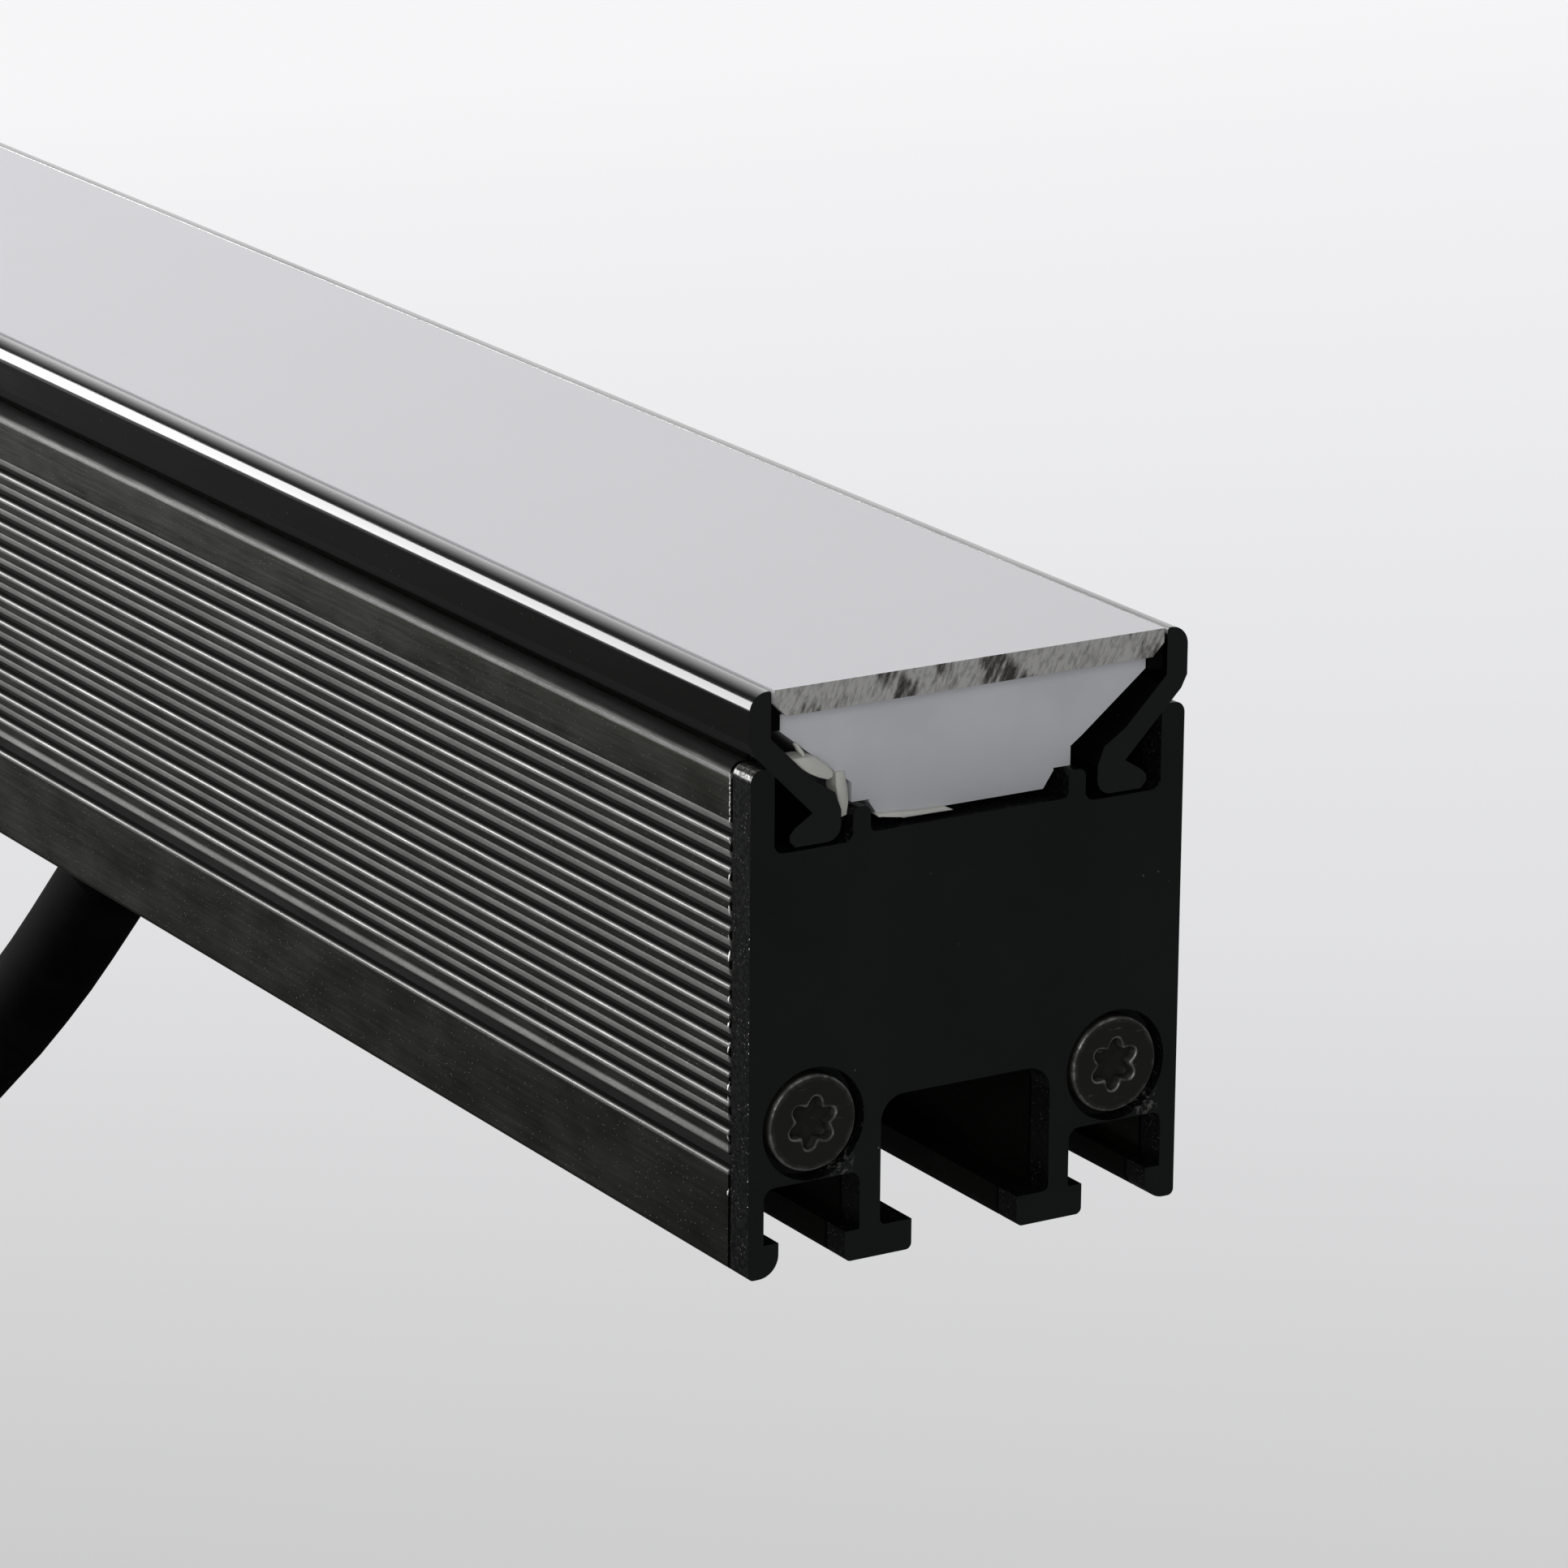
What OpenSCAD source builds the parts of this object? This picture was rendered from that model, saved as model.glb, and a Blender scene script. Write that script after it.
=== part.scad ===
// Outdoor wall washer light: a short linear luminaire in a ribbed aluminium extrusion.
// X runs along the body and Z points the way the light leaves it. The origin is on the
// base plane, in the middle of the mouth of the underside channel.

/* [Body] */
// Length over both end plates
body_l = 300; // [200:10:600]
// Width of the extrusion
body_w = 38; // [37:0.5:42]
// Height of the side walls above the base plane
body_h = 39.4; // [38.4:0.2:44]
// Height over the cover glass, on side walls of the standard height
top_h = 45.3; // [45.2:0.1:46.2]
// Wall thickness beside the driver chamber
wall_t = 2.05; // [1.8:0.05:2.4]
// Radius on the long outer edges
edge_r = 0.9; // [0.3:0.1:1.2]

/* [Ribs] */
// Number of grooves down each side
groove_count = 12; // [4:1:12]
// Width of a groove
groove_w = 1.15; // [0.8:0.05:1.2]
// Depth of a groove
groove_d = 0.75; // [0.4:0.05:0.9]
// Width of a rib
rib_w = 1.11; // [0.8:0.05:1.15]
// Rounding on the edges of a rib
rib_r = 0.22; // [0.1:0.02:0.3]
// Extra width of the lowest rib
low_rib_extra = 0.85; // [0:0.05:0.9]
// Height of the plain band above the ribs
top_band_h = 4.6; // [3.6:0.1:5]

/* [Underside] */
// Width inside the centre channel
channel_w = 15; // [14:0.1:16]
// Height of the centre channel's ceiling
channel_h = 12.5; // [11.5:0.1:13]
// Radius in the channel's upper corners
channel_r = 2; // [1:0.1:3]
// Thickness of the two webs
web_t = 1.8; // [1.4:0.05:2.2]
// Thickness of the foot under each web
foot_t = 2.4; // [1.8:0.1:3]
// How far a foot reaches into the centre channel
foot_in = 2.8; // [1.8:0.1:3]
// How far a foot reaches into the side slot
foot_out = 1.25; // [0.8:0.05:1.6]
// Height of the side slots' ceiling
slot_h = 7; // [6.4:0.1:7.2]
// Wall thickness beside the side slots
slot_wall_t = 1.35; // [1.1:0.05:1.7]
// How far the hook on each side wall reaches into the slot
hook_in = 1.3; // [0.8:0.1:1.6]
// Height of the hook
hook_h = 2.6; // [2:0.1:3.2]

/* [Chamber] */
// Height of the chamber's floor
chamber_z = 15.3; // [15:0.1:16]
// Height of the underside of the light deck, between walls of the standard height
deck_low_z = 31.2; // [30.6:0.1:31.6]
// Height of the top of the light deck, between walls of the standard height
deck_z = 33.3; // [33:0.1:33.6]
// Radius in the chamber's corners
chamber_r = 1.5; // [0.8:0.1:2.4]

/* [Light deck] */
// Distance from the centre line to the inner side of a lip along the deck
lip_in = 8.7; // [7.8:0.1:9]
// Width of a lip
lip_w = 1.5; // [1.3:0.1:1.8]
// Height of a lip above the deck
lip_h = 2.1; // [1.8:0.05:2.7]
// Rounding on the top of a lip
lip_r = 0.6; // [0.3:0.05:0.6]
// Depth of the clip pockets below the deck
pocket_drop = 0.5; // [0:0.1:0.8]
// Rounding in the bottom of a clip pocket
pocket_r = 0.8; // [0.4:0.1:1]

/* [End plate] */
// Thickness of an end plate
plate_t = 2.5; // [2.2:0.1:3]
// Thickness of an end gasket
gasket_t = 0.4; // [0.2:0.05:0.6]
// How far a gasket stays back from the outside
gasket_inset = 0.4; // [0.2:0.05:0.6]

/* [End plate screws] */
// Distance from the centre line to a screw
screw_y = 13.4; // [13.2:0.05:13.6]
// Height of a screw above the base plane
screw_z = 11.45; // [11.4:0.05:11.8]
// Diameter of a screw head
screw_head_d = 7.5; // [6.8:0.1:7.8]
// Thickness of a screw head
screw_head_t = 1.6; // [1.3:0.05:1.7]
// Diameter of a screw's threaded part, at the root of the thread
screw_root_d = 3.2; // [2.8:0.05:3.6]
// Length of a screw under its head
screw_l = 10; // [8:0.5:16]
// Width of the six-lobe recess
lobe_d = 4; // [3.2:0.1:4.4]
// Depth of the six-lobe recess
lobe_depth = 1.1; // [0.8:0.05:1.2]
// Diameter of a counterbore in the end plate
counterbore_d = 8.8; // [8.4:0.1:9]
// Depth of a counterbore
counterbore_t = 1.7; // [1.7:0.05:1.8]

/* [Clip strips] */
// Thickness of a clip strip's upright wall
clip_wall_t = 1.85; // [1.5:0.05:2]
// Thickness of a clip strip's sloping arm
clip_arm_t = 1.8; // [1.4:0.05:2]
// How far a clip strip stands proud of the side wall
clip_proud = 0.15; // [0:0.05:0.3]
// Radius on the top edge of a clip strip
clip_r = 1.5; // [0.6:0.1:1.5]
// Width of the barbed foot
clip_foot_w = 4.4; // [4:0.1:4.6]
// Thickness of the barbed foot
clip_foot_t = 1.5; // [1:0.05:1.7]

/* [Cover and trough] */
// Thickness of the cover glass
glass_t = 2.1; // [1.8:0.05:2.3]
// Chamfer along the lower edges of the cover glass
glass_chamfer = 1; // [0.6:0.1:1.2]
// Wall thickness of the reflector trough
trough_t = 1.2; // [0.8:0.1:1.4]
// Length of an end plug
plug_l = 6; // [4:0.5:9]
// How far an end plug stays back from the end of the body
plug_back = 1.25; // [1:0.25:4]

/* [Light source] */
// Thickness of the circuit board under the light sources
led_board_t = 1; // [0.8:0.05:1.1]
// Thickness of the thermal pad under that board
pad_t = 0.3; // [0.2:0.05:0.35]
// Number of light sources
led_count = 18; // [6:1:30]
// Side of one light source
led_w = 3.5; // [2.8:0.1:4]
// Height of one light source
led_h = 0.8; // [0.6:0.05:1]
// Number of board screws
board_screw_count = 4; // [2:1:6]

/* [Driver] */
// Length of the driver's circuit board in a body of the standard length
driver_l = 112; // [104:1:120]
// Width of the driver's circuit board
driver_w = 27; // [25:0.5:28]
// Thickness of the driver's circuit board
driver_t = 1.6; // [1.2:0.1:2]
// Height of the driver's board above the tray
driver_lift = 3; // [2.5:0.1:3.5]
// Wall thickness of the insulating tray
tray_t = 0.8; // [0.6:0.1:1.2]
// Height of the tray's walls
tray_h = 13; // [11:0.5:14]

/* [Cable outlet] */
// Distance of the cable outlet from the middle of the body
outlet_x = 13; // [9:0.5:16]
// Diameter of the gland's thread
gland_d = 12; // [11:0.5:12.5]
// Width across the flange of the gland
gland_flange_d = 14.4; // [14:0.1:14.6]
// Thickness of the gland's flange
gland_flange_t = 2.4; // [2:0.1:2.6]
// Thickness of the flat seal over that flange
gland_seal_t = 1; // [0.6:0.1:1.2]
// Diameter of the power cable
cable_d = 9; // [8.5:0.1:9.2]
// Bend radius of the elbow boot
boot_bend_r = 24; // [23:0.5:25]
// Diameter of the elbow boot at the gland
boot_d = 13.4; // [13:0.1:13.6]
// Diameter of the elbow boot at its mouth
boot_mouth_d = 11.4; // [11:0.1:12]

/* [Connector] */
// Length of the connector's shell
shell_l = 26; // [24:0.5:30]
// Diameter of the connector's shell
shell_d = 13; // [12:0.1:13.5]
// Outer diameter of the coupling ring
ring_d = 19.4; // [19:0.1:21]
// Length of the coupling ring
ring_l = 19; // [18:0.5:21]
// Number of finger flutes round the coupling ring
flute_count = 18; // [12:1:24]
// Number of contacts
contact_count = 5; // [3:1:5]

/* [Hidden] */

// Rounding of true curves
$fn = 48;
// Overrun of every cut
over = 0.5;
// Running gap, and the room left round a seated piece
gap = 0.3;
// Play between a thread and the hole it bites into
bite_gap = 0.1;
// Clearance of a hole that a thread passes
pass_gap = 1.2;

// Section and length that the sizes above are given for
standard_h = 39.4;
standard_l = 300;
// What stands over the chamber rises with taller side walls
rise = body_h - standard_h;
deck_low = deck_low_z + rise;
deck_top = deck_z + rise;
cover_top = top_h + rise;
// Half the width of the body, and the length of the extrusion between the gaskets
hw = body_w / 2;
housing_l = body_l - 2 * (plate_t + gasket_t);
// Outer side of a web, and inner side of the wall beside a side slot
web_out = channel_w / 2 + web_t;
slot_out = hw - slot_wall_t;
// Roundings of the underside
foot_r = 0.5;
hook_r = 1.7;
slot_r = 0.9;
base_r = 0.5;
// Fillet between a lip and the deck
lip_fillet = 0.5;
// Screw ports along the extrusion, and the holes in the end plate
port_d = screw_root_d + bite_gap;
plate_hole_d = screw_root_d + pass_gap;

// Width that a side wall keeps outside the clip's seat
seat_w = 1.4;
seat_y = hw - seat_w;
// Outer and inner faces of a clip's upright wall
clip_out = hw + clip_proud;
clip_in = clip_out - clip_wall_t;
// Outer side of a lip, and the floor of the clip pocket beside it
lip_out = lip_in + lip_w;
pocket_z = deck_top - pocket_drop;
// A clip's foot lies in the pocket, its inner side clear of the lip
neck_gap = 1.05;
neck_in = lip_out + neck_gap;
foot_low = pocket_z + gap;
foot_top = foot_low + clip_foot_t;
foot_tip = neck_in + clip_foot_w;
foot_heel_r = 1.2;
// The arm slopes up from the neck over the foot to the seat on the side wall
neck_w = 2.45;
neck_out = neck_in + neck_w;
neck_rise = 0.9;
arm_slope = (body_h - foot_top - neck_rise) / (seat_y - neck_out);
arm_rise = clip_arm_t * sqrt(1 + arm_slope * arm_slope);
function arm_z(y) = body_h + arm_slope * (y - seat_y);
function arm_top(y) = arm_z(y) + arm_rise;
// Shoulder of the neck, which leans outwards over the lip's top
shoulder_rise = 1.4;
shoulder_lean = 0.55;
// Bevel on the elbow between a clip's wall and its arm
elbow_cut = 0.5;
// Rounding on the inner top edge of a clip
clip_inner_r = 0.25;

// Cover glass, and the top of the lips that carry the trough
glass_half = clip_in - gap;
glass_z = cover_top - glass_t;
lip_top = deck_top + lip_h;
// Trough: sealed off from the clips at the top, narrower between them, and as wide as the lips below
trough_gap = 1.1;
trough_half = clip_in - trough_gap;
trough_band = 1.2;
trough_low_half = lip_in + 0.9;
trough_low_rise = 1.5;
trough_knee_half = trough_low_half + 1;
trough_knee_rise = 2.2;
// Half the width of the trough's slot for the light sources, and of its open top
slot_half = 6;
open_half = trough_half - trough_t;
// How far the glass seals stay back from the ends
seal_back = 0.6;
// Inner faces of the end plugs
plug_x = body_l / 2 - plug_back - plug_l;

// Circuit board of the light sources, between the lips
led_board_l = 2 * plug_x - gap;
led_board_half = lip_in - 2 * gap;
led_board_z = deck_top + pad_t;
led_top_z = led_board_z + led_board_t;
led_margin = 12.5;
led_pitch = (led_board_l - 2 * led_margin) / (led_count - 1);
// Pale window of a light source
led_window_share = 0.78;
// End plugs taper between the lips and end above the deck
plug_lift = 0.6;
plug_low_half = led_board_half - 0.9;
plug_bevel_rise = 0.2;
// Screws that hold the board down
board_screw_d = 2;
board_screw_head_d = 4.4;
board_screw_head_t = 1;
board_screw_l = 3.2;
board_screw_recess_share = 0.9;

// Wires from the driver to the board, and the grommet in the deck
wire_d = 1.5;
wire_bend_r = 3;
wire_gap = 1.1;
wire_spread = 2.9;
wires_in = 7;
wires_x = wires_in - led_board_l / 2;
grommet_d = 6.4;
grommet_bore_d = 5;
grommet_flange = 0.9;

// Tray and driver in the chamber
tray_z = chamber_z;
tray_room = 6;
tray_half = driver_w / 2 + gap + tray_t;
driver_board_l = driver_l + (body_l - standard_l) / 2;
driver_x1 = outlet_x - gland_d - 2 * tray_room;
driver_x0 = driver_x1 - driver_board_l;
driver_z = tray_z + tray_t + driver_lift;
driver_top = driver_z + driver_t;
tray_post_d = 5;
// Parts on the driver board: sizes, and gaps between them
block_l = 12;
block_h = 8.4;
block_ways = 3;
block_side = 1.4;
block_w = block_ways * wire_spread + 2 * block_side;
block_screw_d = 2.2;
transformer_l = 17;
transformer_w = 15;
transformer_h = 9.4;
transformer_core_share = 0.36;
inductor_d = 8.4;
inductor_h = 7;
inductor_waist_share = 0.72;
inductor_rim_share = 0.16;
capacitor_d = 8;
capacitor_l = 13;
capacitor_groove = 0.4;
chip_l = 6;
chip_w = 4;
chip_h = 1.6;
chip_leg = 0.5;
chip_legs = 4;
part_gap_share = 1 / 28;
part_gap = driver_board_l * part_gap_share;
block_back = 1.5;
block_x = driver_x1 - block_l - block_back;
capacitor_x = block_x - part_gap - capacitor_l;
transformer_x = capacitor_x - part_gap - transformer_l;
inductor_x = transformer_x - part_gap - inductor_d / 2;
chip_x = inductor_x - inductor_d - part_gap - inductor_d / 2 - part_gap - chip_l;

// Gland in the channel's ceiling
gland_hole_d = gland_d + bite_gap;
gland_bore_d = 9.4;
gland_neck_l = 4.6;
gland_top_z = chamber_z + gland_neck_l;
locknut_t = 3;
locknut_af = 15;
seal_d = gland_flange_d - gap;
gland_flange_z = channel_h - gland_seal_t - gland_flange_t;
// Opening milled through the feet of the webs for the gland and the boot
notch_back = 17;
notch_room = 1.2;
notch_front = gland_flange_d / 2 + notch_room;

// Elbow boot: collar, bend and rings
boot_collar_t = 0.9;
boot_angle = 45;
boot_rings = 5;
boot_ring_share = 0.62;
boot_ring_proud = 0.6;
boot_core_d = boot_mouth_d - 2 * boot_ring_proud;
boot_z = gland_flange_z - boot_collar_t;
spigot_gap = 0.2;
spigot_d = gland_bore_d - 2 * spigot_gap;
spigot_rise = 0.8;
spigot_top_z = chamber_z + spigot_rise;

// Route of the power cable, from the boot's mouth to the connector
cable_route = [
    [5.8, 0, -8.95],
    [-1, 0, -15.5],
    [-10, 0, -24],
    [-20, 0, -32.5],
    [-31, 0, -41],
    [-41.5, 0, -50],
    [-51, 0, -60.5],
    [-59, 0, -72],
    [-65, 0, -85],
    [-68.5, 0, -99],
    [-70, 0, -113],
    [-70, 0, -130],
    [-70, 0, -150],
    [-70, 0, -172],
    [-70, 0, -194],
    [-70, 0, -215],
    [-70, 0, -235]
];
cable_sides = 12;
cable_end = cable_route[len(cable_route) - 1];

// Connector on the end of the cable, listed downwards from where the cable enters
conn_x = cable_end[0];
conn_z = cable_end[2];
conn_boot_l = 16;
conn_boot_d = 11.6;
conn_boot_rings = 4;
conn_grip_d = 15.4;
conn_grip_l = 8;
shell_z = conn_z - conn_boot_l;
ring_z = shell_z - conn_grip_l - gap;
ring_wall = 1.7;
ring_top_t = 2.2;
stop_d = ring_d - 2 * ring_wall - 2 * gap;
stop_t = 2;
stop_z = ring_z - ring_top_t - gap;
nose_step = 0.8;
nose_wall = 1.3;
nose_d = shell_d - 2 * nose_step;
nose_bore_d = nose_d - 2 * nose_wall;
nose_depth = 8;
shell_low_z = shell_z - shell_l;
o_ring_t = 1.7;
o_ring_z = stop_z - stop_t - o_ring_t;
insert_d = nose_bore_d - 2 * bite_gap;
insert_t = 3;
insert_z = shell_low_z + nose_depth;
pin_d = 1.1;
pin_l = 5;
pin_circle_share = 0.52;
flute_depth = 0.6;
flute_d = 2.4;
ring_rim = 2.4;
thread_ridges = 3;
thread_t = 0.35;

// Colours
black_anodised = [0.07, 0.075, 0.075];
black_gloss = [0.03, 0.03, 0.035];
black_rubber = [0.09, 0.09, 0.09];
milky = [0.8, 0.81, 0.82, 0.9];
white_plastic = [0.88, 0.87, 0.84];
steel = [0.35, 0.36, 0.37];
board_green = [0.08, 0.32, 0.18];

// A rectangle from its low corner to its high corner
module span(low, high) {
    translate(low) square(high - low);
}

// What rounding takes from a corner at the origin; dx and dy point into the material
module corner(r, dx, dy) {
    difference() {
        translate([dx > 0 ? -over : -r, dy > 0 ? -over : -r]) square(r + over);
        translate([dx * r, dy * r]) circle(r);
    }
}

// A flat shape and its mirror image across the centre line
module both() {
    children();
    mirror([1, 0]) children();
}

// A cross-section (across, up) drawn out along X from x0
module along_x(x0, l) {
    translate([x0, 0, 0]) rotate([90, 0, 90]) linear_extrude(l) children();
}

// A box from its low corner to its high corner
module block(low, high) {
    translate(low) cube(high - low);
}

// A round bar along X from x0
module bar_x(x0, l, y, z, d) {
    translate([x0, y, z]) rotate([0, 90, 0]) cylinder(h = l, d = d);
}

// Centre channel with the feet of its two webs
module channel_void() {
    difference() {
        union() {
            span([-channel_w / 2, foot_t], [channel_w / 2, channel_h]);
            span([foot_in - channel_w / 2, -over], [channel_w / 2 - foot_in, foot_t + over]);
        }
        both() translate([channel_w / 2, channel_h]) corner(channel_r, -1, -1);
        both() translate([channel_w / 2, foot_t]) corner(foot_r, -1, 1);
    }
    both() translate([channel_w / 2 - foot_in, 0]) corner(foot_r, 1, 1);
}

// Side slot between a web and the hooked side wall
module side_slot_void() {
    difference() {
        union() {
            span([web_out + foot_out, -over], [slot_out - hook_in, slot_h]);
            span([web_out, foot_t], [web_out + foot_out + over, slot_h]);
            span([slot_out - hook_in - over, hook_h], [slot_out, slot_h]);
        }
        translate([web_out, slot_h]) corner(slot_r, 1, -1);
        translate([slot_out, slot_h]) corner(slot_r, -1, -1);
    }
    translate([web_out + foot_out, 0]) corner(foot_r, -1, 1);
    translate([slot_out - hook_in, 0]) corner(hook_r, 1, 1);
}

// Lip between the light deck and a clip pocket
module lip() {
    difference() {
        span([lip_in, deck_top - over], [lip_out, lip_top]);
        translate([lip_in, lip_top]) corner(lip_r, 1, -1);
        translate([lip_out, lip_top]) corner(lip_r, -1, -1);
    }
    translate([lip_in, deck_top]) corner(lip_fillet, -1, 1);
}

// Pocket for the foot of a clip
module pocket_void() {
    difference() {
        span([lip_out, pocket_z], [hw - wall_t, deck_top + over]);
        translate([lip_out, pocket_z]) corner(pocket_r, 1, 1);
        translate([hw - wall_t, pocket_z]) corner(pocket_r, -1, 1);
    }
}

// Open space above the deck, in which the lips stand
module deck_void() {
    difference() {
        span([wall_t - hw, deck_top], [hw - wall_t, body_h + over]);
        both() lip();
    }
    both() pocket_void();
}

// Common outline of the extrusion, the gaskets and the end plates
module outline() {
    difference() {
        span([-hw, 0], [hw, body_h]);
        channel_void();
        both() side_slot_void();
        deck_void();
        both() polygon([
            [seat_y + over, arm_z(seat_y + over)],
            [hw - wall_t - over, arm_z(hw - wall_t - over)],
            [hw - wall_t - over, body_h + over]
        ]);
        both() translate([hw, body_h]) corner(edge_r, -1, -1);
        both() translate([hw, 0]) corner(base_r, -1, 1);
    }
}

// Driver chamber inside the extrusion
module chamber_void() {
    difference() {
        span([wall_t - hw, chamber_z], [hw - wall_t, deck_low]);
        both() translate([hw - wall_t, chamber_z]) corner(chamber_r, -1, 1);
        both() translate([hw - wall_t, deck_low]) corner(chamber_r, -1, -1);
    }
}

// Top of a groove, counted from the top band
function groove_top(i) = body_h - top_band_h - i * (groove_w + rib_w)
    - (i == groove_count - 1 ? low_rib_extra : 0);

// One groove between two round-edged ribs
module groove_void(top) {
    span([hw - groove_d, top - groove_w], [hw + over, top]);
    translate([hw, top]) corner(rib_r, -1, 1);
    translate([hw, top - groove_w]) corner(rib_r, -1, -1);
}

module housing_profile() {
    difference() {
        outline();
        chamber_void();
        both() translate([screw_y, screw_z]) circle(d = port_d);
        for (i = [0 : groove_count - 1]) both() groove_void(groove_top(i));
    }
}

// Ribbed extrusion, milled for the cable outlet and drilled for the wires and board screws
module housing() {
    color(black_anodised) difference() {
        along_x(-housing_l / 2, housing_l) housing_profile();
        translate([outlet_x, 0, channel_h - over])
            cylinder(h = chamber_z - channel_h + 2 * over, d = gland_hole_d);
        translate([outlet_x, 0, channel_h - gland_seal_t])
            cylinder(h = gland_seal_t, d = seal_d + 2 * bite_gap);
        block([outlet_x - notch_back, -channel_w / 2, -over],
            [outlet_x + notch_front, channel_w / 2, foot_t + foot_r]);
        translate([wires_x, 0, deck_low - over])
            cylinder(h = deck_top - deck_low + 2 * over, d = grommet_d);
        for (i = [0 : board_screw_count - 1]) translate([board_screw_x(i), 0, deck_low - over])
            cylinder(h = deck_top - deck_low + 2 * over, d = board_screw_d + bite_gap);
    }
}

// Flat end plate with counterbored screw holes, drawn at the right-hand end
module end_plate() {
    difference() {
        along_x(body_l / 2 - plate_t, plate_t) outline();
        for (s = [-1, 1]) {
            bar_x(body_l / 2 - plate_t - over, plate_t + 2 * over, s * screw_y, screw_z, plate_hole_d);
            bar_x(body_l / 2 - counterbore_t, counterbore_t + over, s * screw_y, screw_z, counterbore_d);
        }
    }
}

module end_plate_right() {
    color(black_anodised) end_plate();
}

module end_plate_left() {
    color(black_anodised) mirror([1, 0, 0]) end_plate();
}

// Thin gasket between the extrusion and an end plate, a little back from the outside
module end_gasket() {
    difference() {
        along_x(housing_l / 2, gasket_t) intersection() {
            outline();
            span([gasket_inset - hw, gasket_inset], [hw - gasket_inset, body_h - gasket_inset]);
        }
        for (s = [-1, 1])
            bar_x(housing_l / 2 - over, gasket_t + 2 * over, s * screw_y, screw_z, plate_hole_d);
    }
}

module end_gasket_right() {
    color(black_rubber) end_gasket();
}

module end_gasket_left() {
    color(black_rubber) mirror([1, 0, 0]) end_gasket();
}

// Six-lobe recess of a screw head
module six_lobe() {
    core_share = 0.36;
    tip_share = 0.13;
    circle(lobe_d * core_share);
    for (a = [0 : 60 : 300]) rotate(a) translate([lobe_d * (0.5 - tip_share), 0]) circle(lobe_d * tip_share);
}

// Screw along X, its head's seat at the origin and its head towards +X
module six_lobe_screw() {
    dome_share = 0.3;
    dome = screw_head_t * dome_share;
    rotate([0, 90, 0]) difference() {
        union() {
            translate([0, 0, -screw_l]) cylinder(h = screw_l + over, d = screw_root_d);
            cylinder(h = screw_head_t - dome, d = screw_head_d);
            translate([0, 0, screw_head_t - dome])
                cylinder(h = dome, d1 = screw_head_d, d2 = screw_head_d - 2 * dome);
        }
        translate([0, 0, screw_head_t - lobe_depth]) linear_extrude(lobe_depth + over) six_lobe();
    }
}

module end_screws() {
    for (s = [-1, 1]) translate([body_l / 2 - counterbore_t, s * screw_y, screw_z]) six_lobe_screw();
}

module end_screws_right() {
    color(steel) end_screws();
}

module end_screws_left() {
    color(steel) mirror([1, 0, 0]) end_screws();
}

// Clip strip: upright wall, sloping arm, and a barbed foot in the pocket
module clip_profile() {
    tip_r = clip_foot_t / 3;
    difference() {
        polygon([
            [neck_in, foot_low],
            [foot_tip - tip_r, foot_low],
            [foot_tip, foot_low + tip_r],
            [foot_tip, foot_top - tip_r],
            [foot_tip - tip_r, foot_top],
            [neck_out, arm_z(neck_out)],
            [clip_out - elbow_cut, arm_z(clip_out - elbow_cut)],
            [clip_out, arm_z(clip_out) + elbow_cut],
            [clip_out, cover_top],
            [clip_in, cover_top],
            [clip_in, arm_top(clip_in)],
            [neck_out, arm_top(neck_out)],
            [neck_in + shoulder_lean, lip_top + shoulder_rise],
            [neck_in, lip_top]
        ]);
        translate([neck_in, foot_low]) corner(foot_heel_r, 1, 1);
        translate([clip_out, cover_top]) corner(clip_r, -1, -1);
        translate([clip_in, cover_top]) corner(clip_inner_r, 1, -1);
    }
}

module clip_strip_back() {
    color(black_gloss) along_x(-body_l / 2, body_l) clip_profile();
}

module clip_strip_front() {
    color(black_gloss) mirror([0, 1, 0]) along_x(-body_l / 2, body_l) clip_profile();
}

// Flat cover glass between the clip strips
module cover_glass() {
    color(milky) along_x(-body_l / 2, body_l) polygon([
        [glass_chamfer - glass_half, glass_z],
        [glass_half - glass_chamfer, glass_z],
        [glass_half, glass_z + glass_chamfer],
        [glass_half, cover_top],
        [-glass_half, cover_top],
        [-glass_half, glass_z + glass_chamfer]
    ]);
}

// Bead of sealant between the glass, the trough and a clip strip
module glass_seal() {
    along_x(seal_back - body_l / 2, body_l - 2 * seal_back) polygon([
        [trough_half, glass_z - trough_band],
        [clip_in, max(glass_z - trough_band, arm_top(clip_in))],
        [clip_in, glass_z + glass_chamfer],
        [glass_half, glass_z + glass_chamfer],
        [glass_half - glass_chamfer, glass_z],
        [trough_half, glass_z]
    ]);
}

module glass_seal_back() {
    color(black_rubber) glass_seal();
}

module glass_seal_front() {
    color(black_rubber) mirror([0, 1, 0]) glass_seal();
}

// Outer outline of the trough, which stands on the lips
module trough_outline() {
    polygon([
        [trough_low_half, lip_top],
        [trough_low_half, lip_top + trough_low_rise],
        [trough_knee_half, lip_top + trough_knee_rise],
        [trough_half, glass_z - trough_band],
        [trough_half, glass_z],
        [-trough_half, glass_z],
        [-trough_half, glass_z - trough_band],
        [-trough_knee_half, lip_top + trough_knee_rise],
        [-trough_low_half, lip_top + trough_low_rise],
        [-trough_low_half, lip_top]
    ]);
}

// Reflector trough, closed by a thin wall at each end
module reflector_trough() {
    color(white_plastic) difference() {
        along_x(-plug_x, 2 * plug_x) trough_outline();
        along_x(trough_t - plug_x, 2 * (plug_x - trough_t)) polygon([
            [slot_half, lip_top - over],
            [slot_half, lip_top + trough_t / 2],
            [open_half, glass_z - trough_t / 2],
            [open_half, glass_z + over],
            [-open_half, glass_z + over],
            [-open_half, glass_z - trough_t / 2],
            [-slot_half, lip_top + trough_t / 2],
            [-slot_half, lip_top - over]
        ]);
    }
}

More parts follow.
